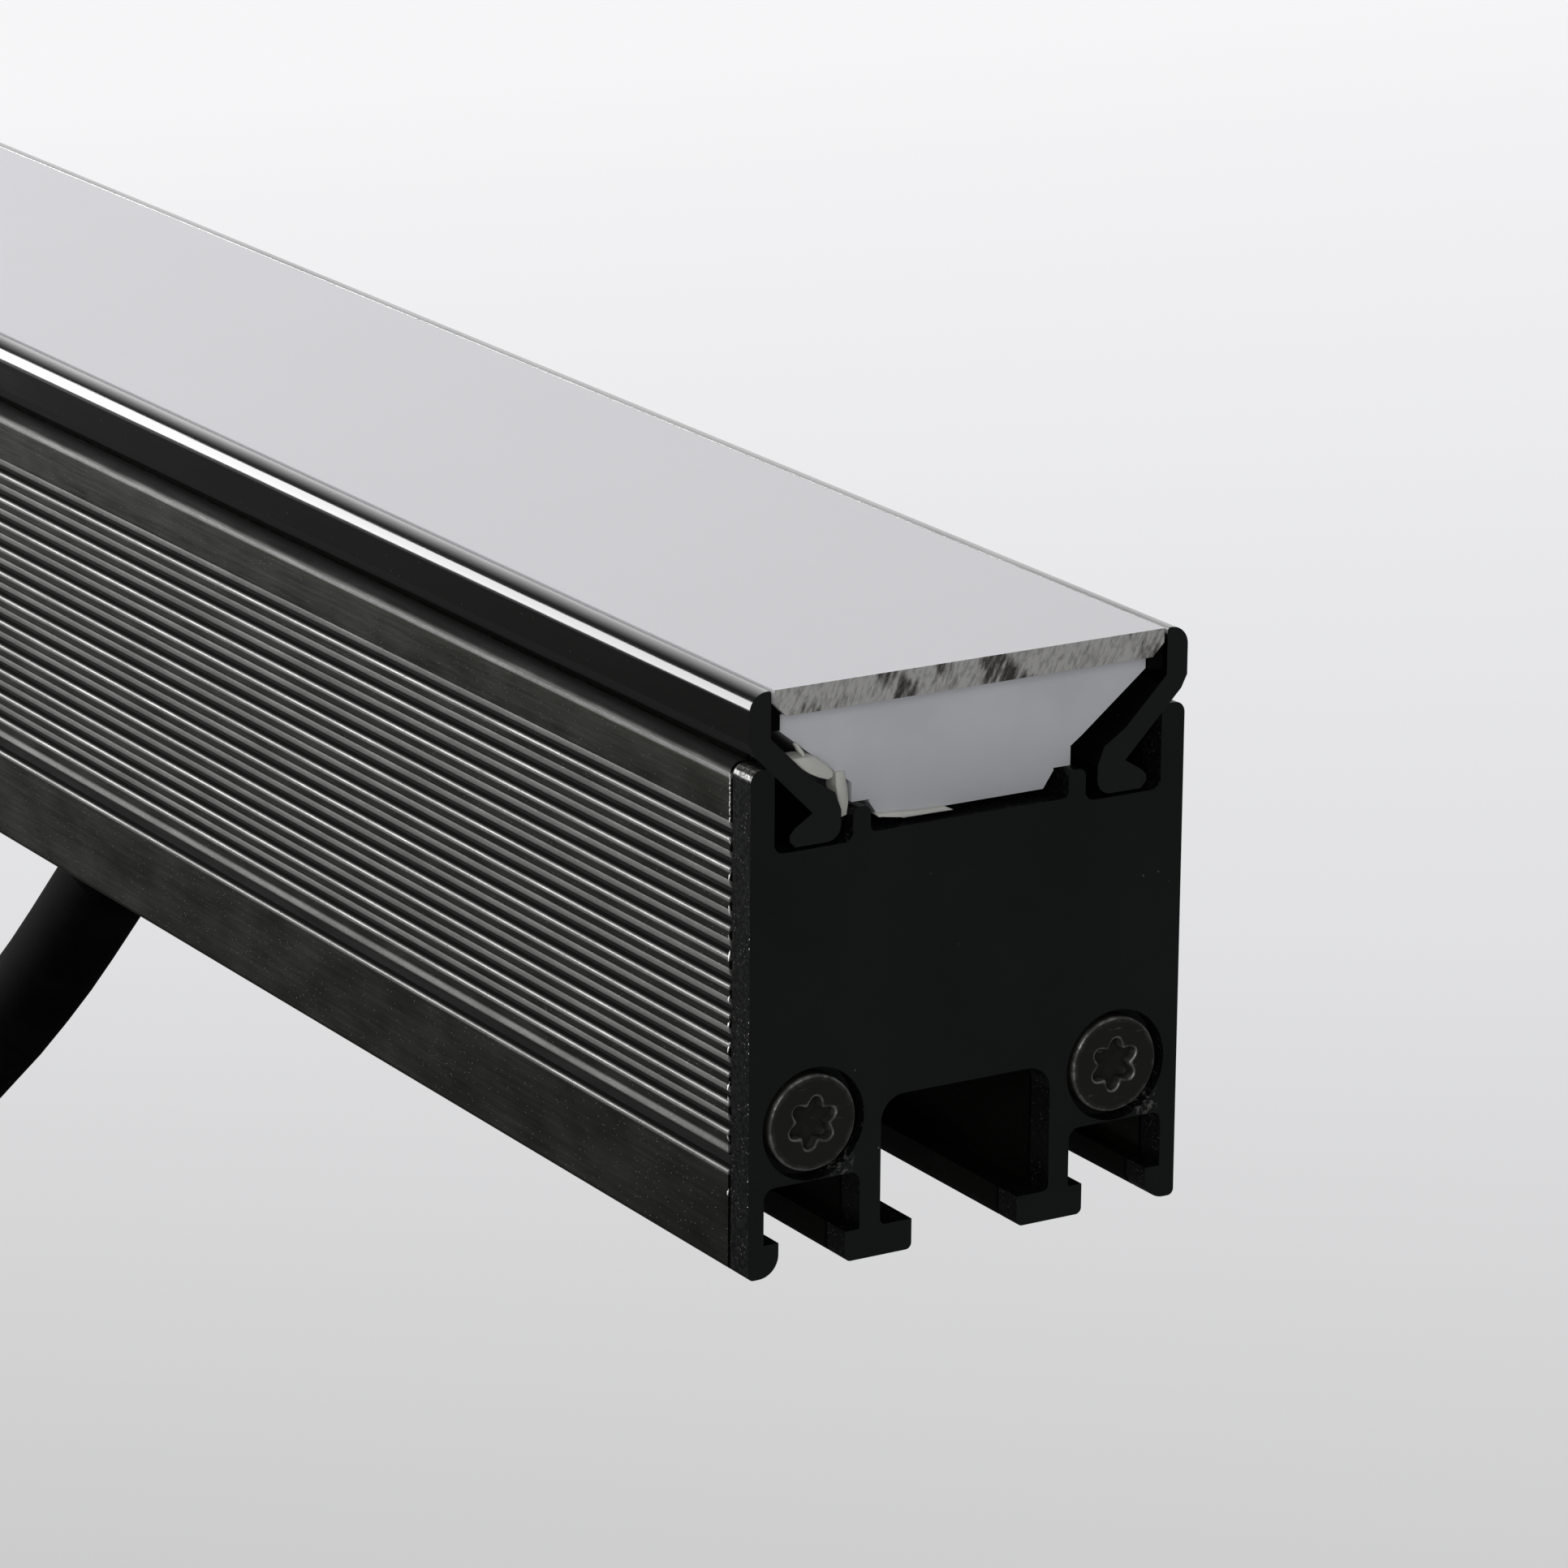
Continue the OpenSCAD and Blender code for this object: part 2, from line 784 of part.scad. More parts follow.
// Plug that closes the trough and the space between the lips, drawn at the right-hand end
module end_plug() {
    along_x(plug_x, plug_l) {
        trough_outline();
        polygon([
            [-plug_low_half, deck_top + plug_lift],
            [plug_low_half, deck_top + plug_lift],
            [led_board_half, lip_top - plug_bevel_rise],
            [led_board_half, lip_top + over],
            [-led_board_half, lip_top + over],
            [-led_board_half, lip_top - plug_bevel_rise]
        ]);
    }
}

module end_plug_right() {
    color(white_plastic) end_plug();
}

module end_plug_left() {
    color(white_plastic) mirror([1, 0, 0]) end_plug();
}

// Place of a light source, and of a board screw between two of them
function led_x(i) = led_margin - led_board_l / 2 + i * led_pitch;
function board_screw_x(i) = led_x(floor((i + 0.5) * (led_count - 1) / board_screw_count) + 0.5);

module board_holes(z, t) {
    translate([wires_x, 0, z - over]) cylinder(h = t + 2 * over, d = grommet_bore_d);
    for (i = [0 : board_screw_count - 1])
        translate([board_screw_x(i), 0, z - over]) cylinder(h = t + 2 * over, d = board_screw_d + gap);
}

module thermal_pad() {
    color([0.62, 0.66, 0.7]) difference() {
        along_x(-led_board_l / 2, led_board_l)
            span([-led_board_half, deck_top], [led_board_half, led_board_z]);
        board_holes(deck_top, pad_t);
    }
}

module led_board() {
    color([0.93, 0.93, 0.9]) difference() {
        along_x(-led_board_l / 2, led_board_l)
            span([-led_board_half, led_board_z], [led_board_half, led_top_z]);
        board_holes(led_board_z, led_board_t);
    }
}

// Light sources: a square package with a shallow round window
module light_sources() {
    color([0.95, 0.85, 0.3]) for (i = [0 : led_count - 1]) translate([led_x(i), 0, led_top_z]) difference() {
        translate([-led_w / 2, -led_w / 2, 0]) cube([led_w, led_w, led_h]);
        translate([0, 0, led_h / 2]) cylinder(h = led_h, d = led_w * led_window_share);
    }
}

module board_screws() {
    color(steel) for (i = [0 : board_screw_count - 1])
        translate([board_screw_x(i), 0, led_top_z]) difference() {
        union() {
            translate([0, 0, -board_screw_l])
                cylinder(h = board_screw_l + board_screw_head_t / 2, d = board_screw_d);
            cylinder(h = board_screw_head_t / 2, d = board_screw_head_d);
            translate([0, 0, board_screw_head_t / 2])
                cylinder(h = board_screw_head_t / 2, d1 = board_screw_head_d, d2 = board_screw_d);
        }
        translate([0, 0, board_screw_head_t / 2])
            cylinder(h = board_screw_head_t, d = board_screw_d * board_screw_recess_share, $fn = 6);
    }
}

// A wire that runs along X and then turns up (turn = 1) or down (turn = -1) at x
module turned_wire(x_from, x, y, z, z_to, turn) {
    way = x > x_from ? 1 : -1;
    translate([x, y, z]) mirror([way > 0 ? 0 : 1, 0, 0]) mirror([0, 0, turn > 0 ? 0 : 1]) {
        bar_x(-abs(x - x_from), abs(x - x_from) - wire_bend_r, 0, 0, wire_d);
        translate([-wire_bend_r, 0, wire_bend_r]) rotate([90, 0, 0]) rotate([0, 0, -90])
            rotate_extrude(angle = 90) translate([wire_bend_r, 0]) circle(d = wire_d);
        translate([0, 0, wire_bend_r]) cylinder(h = abs(z_to - z) - wire_bend_r, d = wire_d);
    }
}

module led_wires() {
    for (s = [-1, 1]) color(s > 0 ? [0.6, 0.08, 0.06] : [0.05, 0.05, 0.05])
        turned_wire(driver_x0, wires_x, s * wire_gap, driver_top + wire_d / 2, led_top_z + gap, 1);
}

module wire_grommet() {
    color(black_rubber) difference() {
        union() {
            translate([wires_x, 0, deck_low - grommet_flange])
                cylinder(h = grommet_flange, d = grommet_d + 2 * grommet_flange);
            translate([wires_x, 0, deck_low - over]) cylinder(h = deck_top - deck_low + over, d = grommet_d);
        }
        translate([wires_x, 0, deck_low - grommet_flange - over])
            cylinder(h = deck_top - deck_low + grommet_flange + 2 * over, d = grommet_bore_d);
    }
}

// Insulating tray with posts under the corners of the driver board
module driver_tray() {
    color([0.75, 0.75, 0.72]) {
        along_x(driver_x0 - gap, driver_board_l + 2 * gap) difference() {
            span([-tray_half, tray_z], [tray_half, tray_z + tray_h]);
            span([tray_t - tray_half, tray_z + tray_t], [tray_half - tray_t, tray_z + tray_h + over]);
        }
        for (x = [driver_x0 + tray_post_d, driver_x1 - tray_post_d], s = [-1, 1])
            translate([x, s * (driver_w / 2 - tray_post_d), tray_z + tray_t / 2])
                cylinder(h = driver_z - tray_z - tray_t / 2, d = tray_post_d);
    }
}

module driver_board() {
    color(board_green) block([driver_x0, -driver_w / 2, driver_z], [driver_x1, driver_w / 2, driver_top]);
}

// Transformer: a wound bobbin between two halves of a core
module driver_transformer() {
    core = transformer_l * transformer_core_share;
    color([0.2, 0.2, 0.21]) {
        block([transformer_x, -transformer_w / 2, driver_top],
            [transformer_x + core, transformer_w / 2, driver_top + transformer_h]);
        block([transformer_x + transformer_l - core, -transformer_w / 2, driver_top],
            [transformer_x + transformer_l, transformer_w / 2, driver_top + transformer_h]);
        translate([transformer_x + core / 2, 0, driver_top + transformer_h / 2]) rotate([0, 90, 0])
            cylinder(h = transformer_l - core, d = transformer_h - 2 * gap);
    }
}

// Two drum chokes with a waist for their winding
module driver_inductors() {
    rim = inductor_h * inductor_rim_share;
    color([0.32, 0.2, 0.12]) for (s = [-1, 1])
        translate([inductor_x - inductor_d / 2, s * (inductor_d / 2 + gap), driver_top]) rotate_extrude() {
            square([inductor_d / 2, rim]);
            square([inductor_d / 2 * inductor_waist_share, inductor_h]);
            translate([0, inductor_h - rim]) square([inductor_d / 2, rim]);
        }
}

// Two round capacitors lying on the board, each with a rolled groove
module driver_capacitors() {
    groove_at = capacitor_l / 5;
    color([0.12, 0.14, 0.3]) for (s = [-1, 1])
        translate([capacitor_x, s * (capacitor_d / 2 + gap), driver_top + capacitor_d / 2]) rotate([0, 90, 0])
            rotate_extrude() polygon([
                [0, 0],
                [capacitor_d / 2, 0],
                [capacitor_d / 2, capacitor_l - groove_at - capacitor_groove],
                [capacitor_d / 2 - capacitor_groove, capacitor_l - groove_at],
                [capacitor_d / 2, capacitor_l - groove_at + capacitor_groove],
                [capacitor_d / 2, capacitor_l],
                [0, capacitor_l]
            ]);
}

// Three packaged chips with legs on both sides
module driver_chips() {
    pitch = chip_l / chip_legs;
    color([0.1, 0.1, 0.11]) for (k = [-1, 0, 1]) translate([chip_x, k * (chip_w + part_gap), driver_top]) {
        translate([0, -chip_w / 2, 0]) cube([chip_l, chip_w, chip_h]);
        for (i = [0 : chip_legs - 1], s = [-1, 1])
            translate([(i + 0.5) * pitch - chip_leg / 2, s * chip_w / 2 - chip_leg, 0])
                cube([chip_leg, 2 * chip_leg, chip_leg]);
    }
}

// Terminal block with a wire entry and a screw well for each way
module terminal_block() {
    color([0.12, 0.4, 0.2]) difference() {
        block([block_x, -block_w / 2, driver_top], [block_x + block_l, block_w / 2, driver_top + block_h]);
        for (k = [0 : block_ways - 1]) {
            y = (k - (block_ways - 1) / 2) * wire_spread;
            bar_x(block_x + block_l / 2, block_l, y, driver_top + block_h / 2, wire_d + gap);
            translate([block_x + block_l / 3, y, driver_top + block_h / 2])
                cylinder(h = block_h, d = block_screw_d);
        }
    }
}

// Wires from the cable's end in the gland to the terminal block
module input_wires() {
    z = driver_top + block_h / 2;
    colours = [[0.5, 0.08, 0.05], [0.05, 0.05, 0.05], [0.1, 0.2, 0.5]];
    for (k = [0 : block_ways - 1]) color(colours[k % 3])
        turned_wire(block_x + block_l / 2 + gap, outlet_x, (k - (block_ways - 1) / 2) * wire_spread, z,
            spigot_top_z, -1);
}

// Gland body: flange in the channel, threaded neck through its ceiling
module gland_body() {
    color(black_gloss) translate([outlet_x, 0, 0]) difference() {
        union() {
            translate([0, 0, gland_flange_z]) cylinder(h = gland_flange_t, d = gland_flange_d);
            translate([0, 0, gland_flange_z]) cylinder(h = gland_top_z - gland_flange_z, d = gland_d);
        }
        translate([0, 0, gland_flange_z - over])
            cylinder(h = gland_top_z - gland_flange_z + 2 * over, d = gland_bore_d);
    }
}

module gland_seal() {
    color(black_rubber) translate([outlet_x, 0, channel_h - gland_seal_t]) difference() {
        cylinder(h = gland_seal_t, d = seal_d);
        translate([0, 0, -over]) cylinder(h = gland_seal_t + 2 * over, d = gland_hole_d);
    }
}

module gland_locknut() {
    color(black_gloss) translate([outlet_x, 0, chamber_z]) difference() {
        cylinder(h = locknut_t, d = locknut_af / cos(30), $fn = 6);
        translate([0, 0, -over]) cylinder(h = locknut_t + 2 * over, d = gland_hole_d);
    }
}

// Stretch of the elbow boot's bend, turning from straight down towards -X
module boot_bend(from, to, d) {
    translate([outlet_x - boot_bend_r, 0, boot_z]) rotate([-90, 0, 0]) rotate([0, 0, from])
        rotate_extrude(angle = to - from) translate([boot_bend_r, 0]) circle(d = d);
}

// Elbow boot moulded round the cable, with rings that shrink towards its mouth
module elbow_boot() {
    step = boot_angle / boot_rings;
    color(black_rubber) {
        translate([outlet_x, 0, boot_z]) cylinder(h = boot_collar_t, d = boot_d);
        translate([outlet_x, 0, boot_z]) cylinder(h = spigot_top_z - boot_z, d = spigot_d);
        boot_bend(0, boot_angle, boot_core_d);
        for (i = [0 : boot_rings - 1])
            boot_bend((i + 1 - boot_ring_share) * step, (i + 1) * step,
                boot_d + (boot_mouth_d - boot_d) * (i + 1) / boot_rings);
    }
}

// Tube swept along a route in the plane y = 0
function unit(v) = v / norm(v);
function way(route, i) = unit(route[min(i + 1, len(route) - 1)] - route[max(i - 1, 0)]);
function ring_points(route, i, d, n) = [
    for (k = [0 : n - 1])
        let (w = way(route, i), a = 360 * k / n)
        route[i] + d / 2 * (cos(a) * [0, 1, 0] + sin(a) * [-w[2], 0, w[0]])
];
module tube(route, d, n) {
    last = len(route) - 1;
    polyhedron(
        points = [for (i = [0 : last]) each ring_points(route, i, d, n)],
        faces = concat(
            [[for (k = [0 : n - 1]) k]],
            [for (i = [0 : last - 1], k = [0 : n - 1]) each [
                [i * n + k, (i + 1) * n + k, (i + 1) * n + (k + 1) % n],
                [i * n + k, (i + 1) * n + (k + 1) % n, i * n + (k + 1) % n]
            ]],
            [[for (k = [n - 1 : -1 : 0]) last * n + k]]
        )
    );
}

module power_cable() {
    color(black_rubber) tube(cable_route, cable_d, cable_sides);
}

// Ribbed strain relief at the connector
module connector_boot() {
    step = conn_boot_l / conn_boot_rings;
    color(black_rubber) translate([conn_x, 0, shell_z]) {
        cylinder(h = conn_boot_l, d = conn_boot_d);
        for (i = [0 : conn_boot_rings - 1]) translate([0, 0, i * step])
            cylinder(h = step / 2, d = shell_d - (shell_d - conn_boot_d) * i / conn_boot_rings);
    }
}

// Connector shell: grip, neck under the coupling ring, stop flange and hollow nose
module connector_shell() {
    color(black_gloss) translate([conn_x, 0, 0]) difference() {
        union() {
            translate([0, 0, shell_z - conn_grip_l]) cylinder(h = conn_grip_l, d = conn_grip_d);
            translate([0, 0, stop_z - over]) cylinder(h = shell_z - stop_z, d = shell_d);
            translate([0, 0, stop_z - stop_t]) cylinder(h = stop_t, d = stop_d);
            translate([0, 0, shell_low_z]) cylinder(h = shell_l - over, d = nose_d);
        }
        translate([0, 0, shell_low_z - over]) cylinder(h = nose_depth + over, d = nose_bore_d);
    }
}

module connector_o_ring() {
    color([0.45, 0.12, 0.08]) translate([conn_x, 0, o_ring_z]) difference() {
        cylinder(h = o_ring_t, d = nose_d + o_ring_t);
        translate([0, 0, -over]) cylinder(h = o_ring_t + 2 * over, d = nose_d + bite_gap);
    }
}

module contact_insert() {
    color(black_rubber) translate([conn_x, 0, insert_z - insert_t]) difference() {
        cylinder(h = insert_t, d = insert_d);
        for (i = [0 : contact_count - 1]) rotate(360 * i / contact_count)
            translate([insert_d / 2 * pin_circle_share, 0, -over])
                cylinder(h = insert_t + 2 * over, d = pin_d + bite_gap);
    }
}

module contact_pins() {
    color([0.8, 0.65, 0.25]) translate([conn_x, 0, insert_z - pin_l])
        for (i = [0 : contact_count - 1]) rotate(360 * i / contact_count)
            translate([insert_d / 2 * pin_circle_share, 0, 0]) cylinder(h = pin_l, d = pin_d);
}

// Coupling ring that turns on the connector, with finger flutes and an inner thread
module coupling_ring() {
    bore = ring_d - 2 * ring_wall;
    step = (ring_l - ring_top_t) / (thread_ridges + 1);
    color(black_gloss) translate([conn_x, 0, ring_z - ring_l]) difference() {
        cylinder(h = ring_l, d = ring_d);
        translate([0, 0, -over]) cylinder(h = ring_l - ring_top_t + over, d = bore);
        translate([0, 0, -over]) cylinder(h = ring_l + 2 * over, d = shell_d + 2 * gap);
        for (i = [0 : flute_count - 1]) rotate(360 * i / flute_count)
            translate([ring_d / 2 + flute_d / 2 - flute_depth, 0, ring_rim])
                cylinder(h = ring_l - 2 * ring_rim, d = flute_d);
        for (i = [1 : thread_ridges]) translate([0, 0, (i - 0.5) * step])
            cylinder(h = step / 2, d = bore + 2 * thread_t);
    }
}

housing();
end_plate_right();
end_plate_left();
end_gasket_right();
end_gasket_left();
end_screws_right();
end_screws_left();
clip_strip_front();
clip_strip_back();
cover_glass();
glass_seal_front();
glass_seal_back();
reflector_trough();
end_plug_right();
end_plug_left();
thermal_pad();
led_board();
light_sources();
board_screws();
led_wires();
wire_grommet();
driver_tray();
driver_board();
driver_transformer();
driver_inductors();
driver_capacitors();
driver_chips();
terminal_block();
input_wires();
gland_body();
gland_seal();
gland_locknut();
elbow_boot();
power_cable();
connector_boot();
connector_shell();
connector_o_ring();
contact_insert();
contact_pins();
coupling_ring();
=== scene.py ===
"""Outdoor wall washer light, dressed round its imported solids.

The solids keep their shapes and get worked finishes. The lead, the end plate screws, the
light sources, the flanks of the side grooves, the traces of sealant and the burrs at the
sawn edges are made here.
"""
import logging
import math
from collections.abc import Callable
from dataclasses import dataclass, field
from enum import Enum

import bmesh
import bpy
from mathutils import Matrix, Vector


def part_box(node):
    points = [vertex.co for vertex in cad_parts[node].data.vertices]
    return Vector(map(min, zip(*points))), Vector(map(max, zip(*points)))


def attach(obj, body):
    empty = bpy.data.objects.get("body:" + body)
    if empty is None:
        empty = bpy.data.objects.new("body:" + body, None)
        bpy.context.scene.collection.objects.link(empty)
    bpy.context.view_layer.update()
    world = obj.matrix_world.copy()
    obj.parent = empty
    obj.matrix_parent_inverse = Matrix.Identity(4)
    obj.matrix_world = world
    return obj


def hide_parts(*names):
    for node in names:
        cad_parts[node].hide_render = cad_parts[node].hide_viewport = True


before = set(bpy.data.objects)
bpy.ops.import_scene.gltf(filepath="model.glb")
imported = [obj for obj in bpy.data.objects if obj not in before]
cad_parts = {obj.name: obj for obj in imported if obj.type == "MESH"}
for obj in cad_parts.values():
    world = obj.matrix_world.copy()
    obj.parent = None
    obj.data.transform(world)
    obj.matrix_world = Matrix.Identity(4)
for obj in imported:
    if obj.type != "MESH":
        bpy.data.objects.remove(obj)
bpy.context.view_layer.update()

LOG = logging.getLogger("wall_washer")
Colour = tuple[float, float, float]
Point = tuple[float, float, float]

MM = 0.001
LUMINAIRE = "luminaire"
IMAGE_SIDE = 1932
SENSOR_MM = 36.0
# Name of the per-point tint share: painted highlights on the groove flanks and screw rims, and the phosphor
# pool on light packages.
TINT_MARK = "worn"
SAME_PLACE = 1e-7
# Pale grey of dust specks on the clips, and of the painted highlight on the end plates' corners.
DUST_AND_HIGHLIGHT_GREY: Colour = (0.16, 0.16, 0.15)


def shaded(colour: Colour, share: float, lift: float = 0.0) -> Colour:
    """A colour times a share, and lifted, but no brighter than 1."""
    return tuple(min(1.0, c * share + lift) for c in colour)


class Socket:
    """A node's output that takes part in Python arithmetic."""

    def __init__(self, bench: "NodeBench", output: bpy.types.NodeSocket) -> None:
        """Holds an output and the workbench it belongs to."""
        self.bench = bench
        self.output = output

    def __add__(self, other: "Socket | float") -> "Socket":
        """Sum."""
        return self.bench.math("ADD", self, other)

    def __sub__(self, other: "Socket | float") -> "Socket":
        """Difference."""
        return self.bench.math("SUBTRACT", self, other)

    def __rsub__(self, other: float) -> "Socket":
        """Difference with the number first."""
        return self.bench.math("SUBTRACT", other, self)

    def __mul__(self, other: "Socket | float") -> "Socket":
        """Product."""
        return self.bench.math("MULTIPLY", self, other)

    def __abs__(self) -> "Socket":
        """Size without sign."""
        return self.bench.math("ABSOLUTE", self)

    __radd__ = __add__
    __rmul__ = __mul__


class NodeBench:
    """Workbench that builds the nodes of one tree."""

    def __init__(self, tree: bpy.types.NodeTree) -> None:
        """Clears a tree and takes it in hand."""
        self.tree = tree
        self.tree.nodes.clear()

    def node(self, kind: str, settings: dict | None = None, sockets: dict | None = None,
             output: int | str = 0) -> Socket:
        """Adds a node.

        Args:
            kind: Blender's type of the node.
            settings: its properties, and a ramp's stops under "stops".
            sockets: values or links of its inputs, by name or index.
            output: which output is wanted.

        Returns:
            That output.
        """
        made = self.tree.nodes.new(kind)
        for key, value in (settings or {}).items():
            if key != "stops":
                setattr(made, key, value)
                continue
            ramp = made.color_ramp.elements
            while len(ramp) < len(value):
                ramp.new(0.5)
            for stop, (place, colour) in zip(ramp, value):
                stop.position, stop.color = place, (*colour, 1)
        for key, value in (sockets or {}).items():
            if isinstance(value, Socket):
                self.tree.links.new(value.output, made.inputs[key])
            else:
                made.inputs[key].default_value = value
        return Socket(self, made.outputs[output])

    def math(self, operation: str, *values: "Socket | float") -> Socket:
        """Adds a Math node on the values and returns its result."""
        return self.node("ShaderNodeMath", {"operation": operation}, dict(enumerate(values)))

    def clamp(self, value: Socket) -> Socket:
        """Keeps a value between 0 and 1."""
        return self.node("ShaderNodeClamp", None, {"Value": value})

    def part(self, vector: Socket, name: str) -> Socket:
        """The X, Y or Z of a vector."""
        return self.node("ShaderNodeSeparateXYZ", None, {0: vector}, name)

    def step(self, value: Socket, low: float, high: float) -> Socket:
        """Rises smoothly from 0 at low to 1 at high; low may be the larger."""
        return self.node("ShaderNodeMapRange", {"interpolation_type": "SMOOTHSTEP"},
                         {"Value": value, "From Min": low, "From Max": high})

    def band(self, value: Socket, middle: float, wide: float, narrow: float) -> Socket:
        """1 where a value is within narrow of the middle, and 0 beyond wide."""
        return self.step(abs(value - middle), wide, narrow)


class PaintBench(NodeBench):
    """Workbench for the nodes of one material, or of the sky."""

    def __init__(self, name: str, holder: bpy.types.World | None = None) -> None:
        """Makes the material.

        Args:
            name: name of the material.
            holder: what has the tree, if it isn't a new material.
        """
        self.material = holder or bpy.data.materials.new(name)
        self.material.use_nodes = True
        super().__init__(self.material.node_tree)
        self._place: Socket | None = None

    @property
    def place(self) -> Socket:
        """Object coordinates, in metres."""
        if self._place is None:
            self._place = self.node("ShaderNodeTexCoord", output="Object")
        return self._place

    def axis(self, name: str) -> Socket:
        """One of the object coordinates X, Y and Z, in millimetres."""
        return self.part(self.place, name) * (1 / MM)

    def facing(self, name: str) -> Socket:
        """How far the surface faces along X, Y or Z, from -1 to 1."""
        return self.part(self.node("ShaderNodeNewGeometry", output="Normal"), name)

    def sawn(self) -> Socket:
        """1 on the faces that look along X, such as sawn ends."""
        return self.step(abs(self.facing("X")), 0.6, 0.9)

    def mark(self, name: str) -> Socket:
        """A number that the mesh carries at its points."""
        return self.node("ShaderNodeAttribute", {"attribute_name": name}, None, "Fac")

    def spot(self, size_mm: float, stretch: Point, shift: float, turn: float) -> Socket:
        """Object coordinates scaled, moved, and turned about X, for a pattern.

        Args:
            size_mm: size of the pattern's features.
            stretch: how much longer they are along each axis.
            shift: moves the pattern.
            turn: turns it about X, in radians.

        Returns:
            The place in the pattern.
        """
        lean = self.node("ShaderNodeMapping", None, {"Vector": self.place, "Rotation": (turn, 0, 0)})
        return self.node("ShaderNodeMapping", None, {
            "Vector": lean, "Scale": tuple(1 / (MM * size_mm * s) for s in stretch),
            "Location": (shift, shift * 0.7, -shift)})

    def noise(self, size_mm: float, stretch: Point = (1, 1, 1), detail: float = 3,
              shift: float = 0, rough: float = 0.55, turn: float = 0) -> Socket:
        """Adds a noise pattern.

        Args:
            size_mm: size of its features.
            stretch: how much longer they are along each axis.
            detail: octaves of finer detail.
            shift: moves the pattern, to get another one.
            rough: strength of the finer detail.
            turn: turns the pattern about X, in radians.

        Returns:
            A value round 0.5.
        """
        return self.node("ShaderNodeTexNoise", None, {
            "Vector": self.spot(size_mm, stretch, shift, turn), "Scale": 1.0, "Detail": detail,
            "Roughness": rough})

    def specks(self, size_mm: float, share: float, stretch: Point = (1, 1, 1), shift: float = 0) -> Socket:
        """Scattered small specks.

        Args:
            size_mm: their distance.
            share: roughly how much they cover.
            stretch: how much longer they are along each axis.
            shift: moves the pattern.

        Returns:
            1 inside a speck, else 0.
        """
        near = self.node("ShaderNodeTexVoronoi", None, {
            "Vector": self.spot(size_mm, stretch, shift, 0), "Scale": 1.0, "Randomness": 1.0})
        return self.step(near, 0.5 * share + 0.06, 0.5 * share)

    def mix(self, factor: "Socket | float", first: "Socket | Colour", second: "Socket | Colour") -> Socket:
        """Mixes two colours.

        Args:
            factor: share of the second.
            first: the first colour.
            second: the second colour.

        Returns:
            The mixed colour.
        """
        paint = [c if isinstance(c, Socket) else (*c, 1) for c in (first, second)]
        return self.node("ShaderNodeMix", {"data_type": "RGBA", "clamp_factor": True},
                         {0: factor, 6: paint[0], 7: paint[1]}, 2)

    def bump(self, height: Socket, depth_mm: float, under: Socket | None = None) -> Socket:
        """Turns a height pattern into a normal.

        Args:
            height: the pattern.
            depth_mm: how deep it goes.
            under: the normal of another bump below it.

        Returns:
            The normal.
        """
        sockets: dict = {"Height": height, "Distance": depth_mm * MM, "Strength": 1.0}
        if under is not None:
            sockets["Normal"] = under
        return self.node("ShaderNodeBump", None, sockets)

    def finish(self, sockets: dict) -> bpy.types.Material:
        """Adds the Principled shader with these sockets and returns the material."""
        self.show(self.node("ShaderNodeBsdfPrincipled", None, sockets))
        return self.material

    def show(self, shader: Socket, kind: str = "ShaderNodeOutputMaterial") -> None:
        """Links a shader to the tree's output."""
        out = self.tree.nodes.new(kind)
        self.tree.links.new(shader.output, out.inputs["Surface"])


